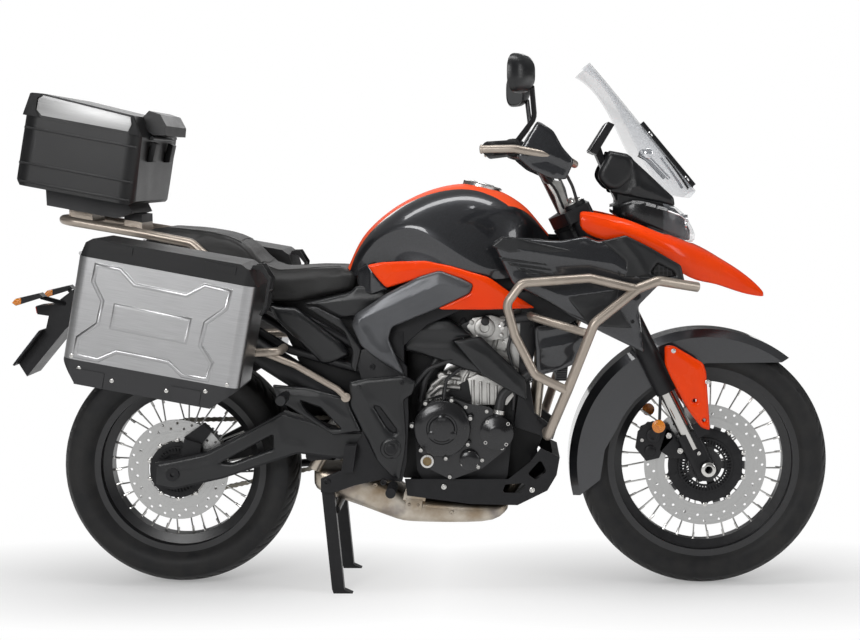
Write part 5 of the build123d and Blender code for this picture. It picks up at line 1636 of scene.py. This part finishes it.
TOP_CORNER = (-366.0, 1080.0)  # the top case's rear lower corner
PLATE_UNDER, SLOPE = -0.064, 0.185  # the plate's underside from that corner, and how it falls forward
rack_finish = Finish("champagne_and_black", (0.42, 0.36, 0.3), 0.32, slot="champagne")
x, _, z = rack_finish.place()
on_plate = z - TOP_CORNER[1] / 1000 + (x - (REAR_AXLE + TOP_CORNER[0]) / 1000) * SLOPE > PLATE_UNDER
cloud = rack_finish.speckle(0.05, 4)
paint = rack_finish.blend(cloud, (0.33, 0.28, 0.235), (0.47, 0.41, 0.35))
rack_finish.put("Base Color", rack_finish.blend(on_plate, paint, (0.018, 0.018, 0.02)))
rack_finish.put("Metallic", (1 - on_plate) * 0.6)
rack_finish.put("Roughness", cloud * 0.18 + on_plate * 0.2 + 0.26)
rack_finish.bump((0.001, 2), 0.0001)
dress(rack_finish, "rear_rack")
dress(champagne, "crash_bars")

# ---------------------------------------------------------------- side cases
# Folded aluminium cases with a pressed outer wall, black moulded trays and lids with raised
# rubbing pads, a hinge at the rear and a latch hoop at the front.
CASE_CORNER = (-199.0, 653.0)  # the side cases' rear lower corner
TILT = math.radians(10.5)


def case_coordinates(finish, corner):
    """Distances along and up a tilted case from its rear lower corner, and across, in metres."""
    x, y, z = finish.place()
    dx = x - (REAR_AXLE + corner[0]) / 1000
    dz = z - corner[1] / 1000
    along = dx * math.cos(TILT) - dz * math.sin(TILT)
    up = dx * math.sin(TILT) + dz * math.cos(TILT)
    return along, up, y


LENGTHWISE, UPWARD = 14.0, 900.0  # strokes to the metre


def brush_strokes(finish, along, up, across):
    """Fine strokes, long and level, about a millimetre apart."""
    point = finish.node("ShaderNodeCombineXYZ", i0=along * LENGTHWISE, i1=across * LENGTHWISE, i2=up * UPWARD)
    return finish.node("ShaderNodeTexNoise", i0=point, Scale=1.0, Detail=4.0)


case_metal = Finish("brushed_aluminium_case", (0.6, 0.6, 0.6), 0.3, 1.0, slot="case_alloy")
along, up, across = case_coordinates(case_metal, CASE_CORNER)
tray = up < 0.004
strokes = brush_strokes(case_metal, along, up, across)
smudge = case_metal.speckle(0.12, 4)
metal_color = case_metal.blend(strokes, (0.3, 0.3, 0.305), (0.5, 0.5, 0.505))
case_metal.put("Base Color", case_metal.blend(tray, metal_color, (0.02, 0.02, 0.022)))
case_metal.put("Metallic", 1 - tray)
case_metal.put("Roughness", strokes * 0.2 + smudge * 0.12 + tray * 0.2 + 0.18)
case_metal.bump(strokes, 0.00012)
dress(case_metal, "side_cases")

lid_plastic = Finish("case_lid_moulding", (0.02, 0.02, 0.022), 0.5, slot="case_black", Specular_IOR_Level=0.3)
HOOP_START = 0.4315  # metres along the case, in front of the lid's edge
hoop = case_coordinates(lid_plastic, CASE_CORNER)[0] > HOOP_START
rub = lid_plastic.speckle(0.07, 4)
black = lid_plastic.blend(rub, (0.006, 0.006, 0.0065), (0.016, 0.016, 0.017))
lid_plastic.put("Base Color", lid_plastic.blend(hoop, black, (0.012, 0.012, 0.013)))
lid_plastic.put("Roughness", rub * 0.2 + 0.36 - hoop * 0.12)
lid_plastic.bump(lid_plastic.cells(800.0), 0.0002)
dress(lid_plastic, "right_lid", "left_lid")


def case_point(u, v, y, corner=CASE_CORNER):
    """A point given along and up a tilted case."""
    sine, cosine = math.sin(TILT), math.cos(TILT)
    return Vector((corner[0] + u * cosine + v * sine, y, corner[1] - u * sine + v * cosine))


def case_bead(outline, y, half, rise):
    """A pressed bead along a closed line on a side case's outer wall."""
    rows = []
    count = len(outline)
    for index in range(count + 1):
        before, here, after = (Vector(outline[(index + step) % count]) for step in (-1, 0, 1))
        onward = (after - here).normalized()
        way = ((here - before).normalized() + onward).normalized()
        off = Vector((-way.y, way.x)) * half / max(0.5, way.dot(onward))
        section = ((1, 0), (0.55, rise), (-0.55, rise), (-1, 0))
        rows.append([case_point(*(here + off * share), -y - up) for share, up in section])
    return loft(rows, ends=False)


CASE_FACE = 424.5
cross = [
    (50, 236), (107, 236), (144, 205), (270, 203), (310, 235), (370, 232), (367, 190), (325, 148),
    (321, 92), (355, 55), (350, 14), (291, 14), (254, 40), (128, 42), (87, 14), (33, 14), (33, 57),
    (75, 98), (77, 155), (48, 196),
]
put_up(
    "case_beads",
    both(
        case_bead(cross, CASE_FACE - 0.4, 6.5, 4.6),
        case_bead([(109, 151), (288, 149), (286, 94), (108, 96)], CASE_FACE + 2.5, 5, 2.6),
    ),
    case_metal, "frame", sharp=60,
)
put_up(
    "silencer",
    together(
        pipe([(462, -112, 462), (420, -113, 506), (196, -118, 652)], 34, 30, 32),
        turned((198, -118, 651), (-0.82, -0.02, 0.56), ((34, -4), (34, 4), (28, 8), (16, 8), (14, 2), (0, 2)), 32),
    ),
    coated, "frame",
)
put_up(
    "link_pipe", pipe([(360, -84, 322), (396, -96, 380), (440, -110, 440), (450, -112, 474)], 17, 40, 24),
    heat_steel, "frame",
)
put_up(
    "case_carrier_struts",
    both(
        pipe([(250, -222, 644), (330, -214, 610), (430, -176, 545), (452, -168, 522)], 8, 40, 16),
        turned((452, -167, 522), RIGHT, ((12, -2), (12, 6), (9, 8), (0, 8)), 20),
    ),
    champagne, "frame",
)
put_up(
    "case_fittings",
    both(
        *(
            hex_screw(case_point(u, v, -CASE_FACE - 0.1), RIGHT, 5, 2.4)
            for u, v in ((46, -14), (128, -30), (260, -30), (352, -14), (400, 10), (24, 12))
        ),
    ),
    steel, "frame",
)

# ---------------------------------------------------------------- top case
# A black moulded case with a brushed strip along the lid between corner caps, two hinges and a
# backrest pad at the front, and a lock at the rear.
case_plastic = Finish("top_case_moulding", (0.02, 0.02, 0.022), 0.42, slot="case_black", Specular_IOR_Level=0.35)
case_plastic.mottle((0.09, 4), (0.006, 0.006, 0.0065), (0.015, 0.015, 0.016), 0.18, 0.3)
case_plastic.bump(case_plastic.cells(800.0), 0.00018)
dress(case_plastic, "top_case", "top_lid")

# ---------------------------------------------------------------- seat
# Moulded foam under black vinyl, stitched in panels over a plastic base. The cover is drawn tight
# over the foam and stapled under the base's edge, so it bulges a little between its seams.
vinyl = Finish("seat_vinyl_cover", (0.02, 0.02, 0.02), 0.5, slot="seat_vinyl", Specular_IOR_Level=0.35)
vinyl.mottle((0.08, 4), (0.008, 0.008, 0.008), (0.021, 0.0205, 0.02), 0.2, 0.42)
vinyl.bump(vinyl.cells(520.0), 0.0004)
seat_rings = (  # x, half width, lower edge, crown
    (477, 88, 808, 826), (473, 106, 798, 836), (463, 115, 790, 841), (445, 120, 786, 843), (420, 124, 781, 842),
    (370, 130, 771, 841), (320, 141, 763, 838), (272, 144, 763, 838), (240, 144, 769, 848),
    (218, 143, 777, 868), (200, 142, 788, 890), (180, 140, 793, 908), (150, 136, 801, 924), (100, 130, 815, 936),
    (40, 125, 846, 943), (-20, 120, 874, 948), (-56, 114, 906, 949), (-68, 104, 928, 944),
)


def cushion_ring(x, half, low, crown):
    """A padded cross section: flat below, rolled sides and a slightly dished top."""
    tall = crown - low
    right = [
        (half * 0.4, low), (half * 0.9, low), (half, low + tall * 0.18), (half, low + tall * 0.5),
        (half * 0.97, low + tall * 0.78), (half * 0.86, crown - 1), (half * 0.6, crown), (half * 0.3, crown - 1.5),
    ]
    return [(x, -y, z) for y, z in right] + [(x, y, z) for y, z in reversed(right)]


BASE_BAND = 12  # millimetres above the lower edge that the base holds
LIFT_LIMIT = 0.008  # metres the padding may move
CLOTH_FRAMES = 20
seat = put_up("seat_cushion", loft([cushion_ring(*row) for row in seat_rings]), vinyl, "frame", ["seat"], 180)
remesh = seat.modifiers.new("even_mesh", "REMESH")
remesh.mode = "VOXEL"
remesh.voxel_size = 0.0055
bpy.context.view_layer.update()
even = bpy.data.meshes.new_from_object(seat.evaluated_get(bpy.context.evaluated_depsgraph_get()))
seat.modifiers.clear()
seat.data = even
rest = np.array([v.co for v in even.vertices])
pins = seat.vertex_groups.new(name="base")
stations, lower_edge = [r[0] for r in seat_rings][::-1], [r[2] for r in seat_rings][::-1]
for vertex in even.vertices:
    base_z = np.interp(vertex.co.x * 1000 - REAR_AXLE, stations, lower_edge)
    if vertex.co.z * 1000 < base_z + BASE_BAND:
        pins.add([vertex.index], 1.0, "REPLACE")
cloth = seat.modifiers.new("padding", "CLOTH")
vinyl_sheet = {
    "quality": 5, "mass": 0.25, "tension_stiffness": 18, "compression_stiffness": 18, "shear_stiffness": 6,
    "bending_stiffness": 1.2, "use_pressure": True, "uniform_pressure_force": 4, "vertex_group_mass": "base",
}
for key, value in vinyl_sheet.items():
    setattr(cloth.settings, key, value)
cloth.settings.effector_weights.gravity = 0
for number in range(1, CLOTH_FRAMES + 1):
    bpy.context.scene.frame_set(number)
blown = seat.evaluated_get(bpy.context.evaluated_depsgraph_get()).to_mesh()
moved = np.array([v.co for v in blown.vertices]) - rest
length = np.linalg.norm(moved, axis=1)
moved *= np.minimum(1.0, LIFT_LIMIT / np.maximum(length, 1e-6))[:, None]
seat.modifiers.clear()
bpy.context.scene.frame_set(1)
even.vertices.foreach_set("co", (rest + moved).ravel())
even.update()
smooth = seat.modifiers.new("smooth", "SMOOTH")
smooth.iterations = 6
smooth.factor = 0.5
finer = seat.modifiers.new("finer", "SUBSURF")
finer.levels = 1
finer.render_levels = 1
seat.data.shade_smooth()
seat.data.materials.clear()
seat.data.materials.append(vinyl.material)


def seat_surface(x, y):
    """The top of the finished cushion at a point."""
    bpy.context.view_layer.update()
    above = at(x, y, 1100)
    found, spot, _, _ = seat.evaluated_get(bpy.context.evaluated_depsgraph_get()).ray_cast(
        above, Vector((0, 0, -1)),
    )
    return Vector((spot.x * 1000 - REAR_AXLE, spot.y * 1000, spot.z * 1000)) if found else Vector((x, y, 940))


STITCHES = 8  # points that each straight run of a seam is laid down by
seams = []
for route in (
    [(430, -56), (360, -84), (280, -98), (232, -100)],
    [(430, 56), (360, 84), (280, 98), (232, 100)],
    [(232, -104), (236, -50), (238, 0), (236, 50), (232, 104)],
    [(178, -92), (120, -88), (20, -80), (-50, -74)],
    [(178, 92), (120, 88), (20, 80), (-50, 74)],
    [(176, -94), (172, 0), (176, 94)],
):
    line = []
    for a, b in zip(route, route[1:]):
        for step in range(STITCHES):
            share = step / STITCHES
            line.append(seat_surface(a[0] + (b[0] - a[0]) * share, a[1] + (b[1] - a[1]) * share))
    line.append(seat_surface(*route[-1]))
    seams.append(pipe(line, 1.6, 2, 6))
put_up("seat_seams", together(*seams), vinyl, "frame")

# ---------------------------------------------------------------- top case trim
# A brushed strip is let into each side of the lid; ribs stiffen the shell and a hinge block with
# two levers stands in front under the pad.
brushed = Finish("brushed_strip", (0.6, 0.6, 0.6), 0.3, 1.0, slot="case_alloy")
strokes = brush_strokes(brushed, *case_coordinates(brushed, TOP_CORNER))
brushed.mottle(strokes, (0.3, 0.3, 0.3), (0.5, 0.5, 0.5), 0.2, 0.36)
brushed.bump(strokes, 0.0001)


def tilted_slab(outline, y_out, y_in, corner):
    """A plate given along and up a tilted case, between two distances from the middle."""
    return prism(*([case_point(u, v, -y, corner) for u, v in outline] for y in (y_out, y_in)))


strip = [(44, 166), (262, 166), (268, 186), (262, 203), (42, 216), (30, 206), (30, 178)]
put_up("top_case_strips", both(tilted_slab(strip, 216.6, 213, TOP_CORNER)), brushed, "top_lid", bevel=1)
caps = [
    [(-2.5, 160), (42, 160), (28, 176), (28, 207), (40, 219), (8, 216)],
    [(264, 160), (292, 160), (270, 206), (264, 206), (271, 186)],
]
put_up(
    "top_case_corner_caps",
    both(*(tilted_slab(outline, 218, 213, TOP_CORNER) for outline in caps)),
    tough_plastic, "top_lid", bevel=1.5,
)
ribs = [
    [(6, 128), (290, 128), (290, 134), (6, 134)], [(6, 40), (292, 40), (292, 46), (6, 46)],
    [(12, -6), (292, -6), (292, 0), (12, 0)],
]
put_up(
    "top_case_ribs",
    both(*(tilted_slab(outline, 217, 213, TOP_CORNER) for outline in ribs)),
    case_plastic, "frame", bevel=1.5,
)
lever = [(296, 96), (312, 100), (314, 146), (300, 150)]
put_up("top_case_levers", both(tilted_slab(lever, 118, 74, TOP_CORNER)), tough_plastic, "frame", bevel=2)

# ---------------------------------------------------------------- fork
# Black anodised outer tubes in forged clamps, hard chromed sliders and cast feet; the bar stands
# on two cast risers. The other black pieces take the same coat here.
dress(coated, "fork", "fork_feet")
slider = Finish("slider_chrome", (0.5, 0.49, 0.47), 0.16, 1.0, slot="chrome")
slider.mottle((0.05, 3), (0.42, 0.41, 0.39), (0.62, 0.61, 0.59), 0.1, 0.05)
slider.bump((0.002, 2), 0.00003)
dress(slider, "fork_tubes")
dress(coated, "rear_caliper", "handlebar", "footpegs", "display", "tail_unit")
put_up(
    "bar_risers",
    both(slab([(958, 1078), (1003, 1072), (1027, 1001), (1003, 984), (986, 1034)], 72, 48)),
    cast_alloy, "steering", bevel=5,
)

# ---------------------------------------------------------------- front mudguard and fork panels
# A graphite lacquered mudguard hugging the wheel, and orange blades bolted to the fork legs; amber
# reflectors are stuck on below them and steel caps close the axle and the legs' tops.
dress(graphite, "front_fender")
fork_blade = [
    (1268, 652), (1290, 653), (1368, 607), (1376, 584), (1388, 432), (1364, 440), (1330, 486),
    (1288, 563), (1270, 602),
]
put_up(
    "fork_blades",
    both(
        panel(
            fork_blade, 138, 9.5, 9, 8, 6,
            ridges=(([(1280, 640), (1350, 590), (1372, 445)], 1.5, 14),),
            holes=(
                [(1340, 510), (1347, 517), (1354, 510), (1347, 503)],
                [(1366, 459), (1372, 465), (1378, 459), (1372, 453)],
            ),
        )
    ),
    orange, "steering", ["fork_panels"], 50,
)
amber = Finish("amber_lens", (0.9, 0.28, 0.01), 0.12, Coat_Weight=0.5)
prisms = amber.cells(320.0, "F1")
amber.put("Base Color", amber.blend(prisms, (0.95, 0.34, 0.02), (0.6, 0.14, 0.005)))
amber.bump(prisms, 0.0006)
put_up(
    "fork_reflectors",
    both(turned((1255, -136, 443), RIGHT, ((17, 0), (17, 5), (14, 7), (0, 7.6)), 32)),
    amber, "steering",
)
put_up(
    "fork_hardware",
    together(
        both(turned((1385, -140, 330), RIGHT, ((11, -10), (19, -8), (19, 3), (16, 5), (10, 5), (9, 1)), 32)),
        *(both(screws(spot)) for spot in ((1360, 136, 372, 5, 4), (1290, 148, 640, 6, 3), (1378, 147, 560, 6, 3))),
        *(
            turned(
                on_fork(7, 770, hand * 105), FORK_AXIS, ((24, -4), (24, 2), (18, 5), (9, 5), (8, 9), (0, 9)), 24
            )
            for hand in (-1, 1)
        ),
    ),
    steel, "steering",
)

# ---------------------------------------------------------------- brake calipers
# A cast two-piston caliper with a black coat, bolted to the right fork foot, grips the disc from
# both sides; the one on the swingarm is alike and smaller.
caliper_face = [
    (1200, 378), (1206, 420), (1232, 446), (1288, 440), (1298, 404), (1270, 372), (1262, 352), (1228, 344),
]
put_up(
    "front_caliper_body",
    together(
        slab(caliper_face, 98, 82),
        slab([(1280, 432), (1299.5, 419.4), (1334, 350), (1292, 352), (1262, 372)], 98, 84),
        slab([(1204, 382), (1216, 430), (1250, 444), (1250, 370), (1228, 350)], 66, 55),
        slab([(1228, 418), (1240, 428), (1252, 420), (1252, 396), (1236, 396)], 82, 66),
        turned((1246, -97, 412), RIGHT, ((19, 0), (19, 4), (16, 6), (10, 6), (9, 4), (0, 4)), 32),
        turned((1238, -97, 372), RIGHT, ((15, 0), (15, 4), (12, 6), (0, 6)), 32),
    ),
    coated, "steering", ["front_caliper"], bevel=2.5,
)
put_up(
    "caliper_bolts",
    screws((1286, 98, 412, 8, 6), (1316, 98, 372, 8, 6), (1216, 98, 400, 5, 5)),
    steel, "steering",
)

# ---------------------------------------------------------------- handlebar, grips and controls
# A tapered aluminium bar, black anodised, with ribbed rubber grips, moulded switch boxes and
# rubber hoses clipped along it; champagne bars carry the hand guards' lacquered shields.
grips, boxes = [], []
for hand in (-1, 1):
    start, end = Vector((874, hand * 290, 1156)), Vector((818, hand * 408, 1150))
    way = (end - start).normalized()
    length = (end - start).length
    profile = [(14, 0), (20, 0), (20, 3), (17, 5)]
    for rib in range(14):
        profile += [(17.4, 8 + rib * 8), (16.2, 11 + rib * 8)]
    profile += [(17.5, length - 3), (14, length - 1)]
    grips.append(turned(start, way, profile, 28))
    inward = (Vector((938, hand * 180, 1136)) - start).normalized()
    boxes.append(turned(start + inward * 4, inward, ((14, 0), (22, 1), (23, 8), (23, 30), (20, 34), (14, 36)), 20))
    boxes.append(turned((952, hand * 222, 1146), (0.1, 0, 1), ((18, -4), (20, 0), (20, 22), (17, 26), (0, 27)), 24))
put_up("handlebar_grips", together(*grips), rubber, "steering")
put_up("switch_boxes", together(*boxes), tough_plastic, "steering", bevel=1)
brake_hose = [
    (948, -212, 1150), (990, -190, 1130), (1030, -140, 1060), (1062, -112, 960), (1180, -112, 760),
    (1262, -118, 560), (1262, -92, 440),
]
put_up(
    "control_hoses",
    together(
        pipe(brake_hose, 4, 60),
        pipe([(948, 212, 1146), (986, 190, 1126), (1020, 130, 1050), (1040, 70, 960)], 4, 50),
        pipe([(886, -262, 1150), (930, -190, 1120), (990, -90, 1050), (1020, -60, 980)], 3.5, 50),
        pipe([(886, 262, 1150), (930, 190, 1120), (990, 90, 1050), (1020, 60, 980)], 3.5, 50),
    ),
    hose_black, "steering",
)
wrap_line = [(967, 1190), (988, 1152), (1014, 1121), (996, 1079)]
rows = []
for y in (414, 404, 380, 350, 324):
    back = (418 - y) * 0.02
    outer = [Vector((x + 6 - back * 2, -y, z)) for x, z in wrap_line]
    rows.append(outer + [Vector((x - 1 - back * 2, -y, z)) for x, z in reversed(wrap_line)])
shield = [(884, 1132), (934, 1217), (972, 1193), (994, 1153), (1022, 1122), (1002, 1077), (965, 1081), (922, 1100)]
put_up(
    "hand_shields",
    both(
        panel(shield, 409, 7, 8, 10, 7, ridges=(([(900, 1132), (960, 1140), (1010, 1118)], 1.5, 16),)), loft(rows),
    ),
    graphite, "steering", ["hand_guards"], 45,
)
put_up(
    "hand_guard_bars",
    both(
        pipe([(806, -412, 1149), (880, -420, 1150), (1000, -402, 1128), (1026, -334, 1114)], 9.5, 30, 18),
        turned((806, -412, 1149), (-1, 0.1, 0), ((9.5, 0), (11, 1), (11, 5), (8, 7), (0, 7)), 20),
    ),
    champagne, "steering",
)

# ---------------------------------------------------------------- mirrors
# Moulded black heads with flat silvered glass, which the rider sets on ball joints; the coated
# steel stems are screwed into nuts on the bar.
TOWARDS_FRONT = math.radians(25)
SQUARENESS = 3.2  # 2 is an ellipse
ROUND = 28
mirror_rings = (  # half width, half height and distance in front of the glass
    (52, 39, 1.5), (56, 43, 0), (60, 46.5, 3), (59, 46, 10), (53, 41, 20), (42, 31, 29), (26, 18, 34.5), (8, 6, 36),
)
heads, glasses, stems = [], [], []
for hand in (-1, 1):
    middle = Vector((886, hand * 380, 1328))
    front = Vector((math.cos(TOWARDS_FRONT), hand * math.sin(TOWARDS_FRONT), 0))
    aside = Vector((-front.y, front.x, 0))
    rings = []
    for half_wide, half_tall, out in mirror_rings:
        ring = []
        for step in range(ROUND):
            turn = 2 * math.pi * step / ROUND
            c, s = math.cos(turn), math.sin(turn)
            reach = (abs(c) ** SQUARENESS + abs(s) ** SQUARENESS) ** (-1 / SQUARENESS)
            ring.append(
                middle + front * out + aside * (half_wide * reach * c) + Vector((0, 0, half_tall * reach * s))
            )
        rings.append(ring)
    heads.append(loft(rings))
    glasses.append(([p - front * 0.4 for p in rings[0]], [list(range(ROUND))]))
    stems.append(pipe([(880, hand * 270, 1160), (930, hand * 300, 1225), (922, hand * 352, 1298)], 6.5, 40, 14))
    stems.append(turned((882, hand * 271, 1162), (0.55, hand * 0.3, 0.75), ((11, 0), (11, 9), (8, 11)), 6))
put_up("mirror_heads", together(*heads), satin, "steering", ["mirrors"], 50)
put_up("mirror_stems", together(*stems), coated, "steering")
silvered = Finish("mirror_glass", (0.9, 0.91, 0.92), 0.02, 1.0)
silvered.put("Roughness", silvered.speckle(0.05, 3) * 0.03 + 0.01)
silvered.put("Base Color", silvered.blend(silvered.speckle(0.05, 3), (0.84, 0.86, 0.88), (0.93, 0.94, 0.95)))
put_up("mirror_glass", together(*glasses), silvered, "steering")

# ---------------------------------------------------------------- display
# A sealed colour display, bonded behind a glossy cover glass that faces the rider; its housing
# is the black moulding screwed to the cowl.
screen_glass = Finish("display_glass", (0.01, 0.012, 0.016), 0.06, Coat_Weight=1.0)
screen_glass.put("Roughness", screen_glass.speckle(0.05, 3) * 0.08 + 0.04)
screen_glass.put(
    "Base Color", screen_glass.blend(screen_glass.speckle(0.1, 2), (0.008, 0.01, 0.014), (0.02, 0.024, 0.03)),
)
face = [(1077.5, -78, 1150), (1121, -78, 1219), (1121, 78, 1219), (1077.5, 78, 1150)]
lifted = [Vector(p) + Vector((-1.0, 0, 0.6)) for p in face]
put_up("display_face", loft([[Vector(p) for p in face], lifted]), screen_glass, "frame", bevel=0.4)

# ---------------------------------------------------------------- tail
# A moulded tail arm carries a red lamp, amber winkers and a blank painted plate. The lenses are
# cast acrylic with small prisms inside; the plate is sheet aluminium, screwed on.
red = Finish("red_lens", (0.6, 0.01, 0.008), 0.14, Coat_Weight=0.5)
prisms = red.cells(260.0, "F1")
red.put("Base Color", red.blend(prisms, (0.7, 0.02, 0.01), (0.3, 0.004, 0.003)))
red.bump(prisms, 0.0006)
plate_paint = Finish("blank_plate", (0.72, 0.76, 0.82), 0.35)
plate_paint.mottle((0.05, 4), (0.62, 0.67, 0.75), (0.78, 0.81, 0.86), 0.2, 0.28)
plate_paint.bump((0.002, 2), 0.0001)
rearward = Vector((-0.781, 0, 0.625))
top_edge, low_edge = Vector((-352, 0, 684)), Vector((-420.4, 0, 597.8))
HALF_PLATE = 95
corners = ((top_edge, -HALF_PLATE), (top_edge, HALF_PLATE), (low_edge, HALF_PLATE), (low_edge, -HALF_PLATE))
blank = [[spot + rearward * out + Vector((0, y, 0)) for spot, y in corners] for out in (0.6, 1.8)]
put_up("number_plate", loft(blank), plate_paint, "frame", bevel=0.4)
lens = slab([(-380, 742), (-376, 742), (-373, 724), (-377, 724)], 32, -32)
put_up("tail_lamp_lens", lens, red, "frame", bevel=1)
WINKER_Y, HALF_WINKER = 134, 18
winker = [(-402, 762.5), (-393, 772.5), (-378, 776), (-378, 760), (-392, 755.5)]
sides = (slab(winker, hand * WINKER_Y + HALF_WINKER, hand * WINKER_Y - HALF_WINKER) for hand in (-1, 1))
put_up("tail_winkers", together(*sides), amber, "frame", bevel=1)
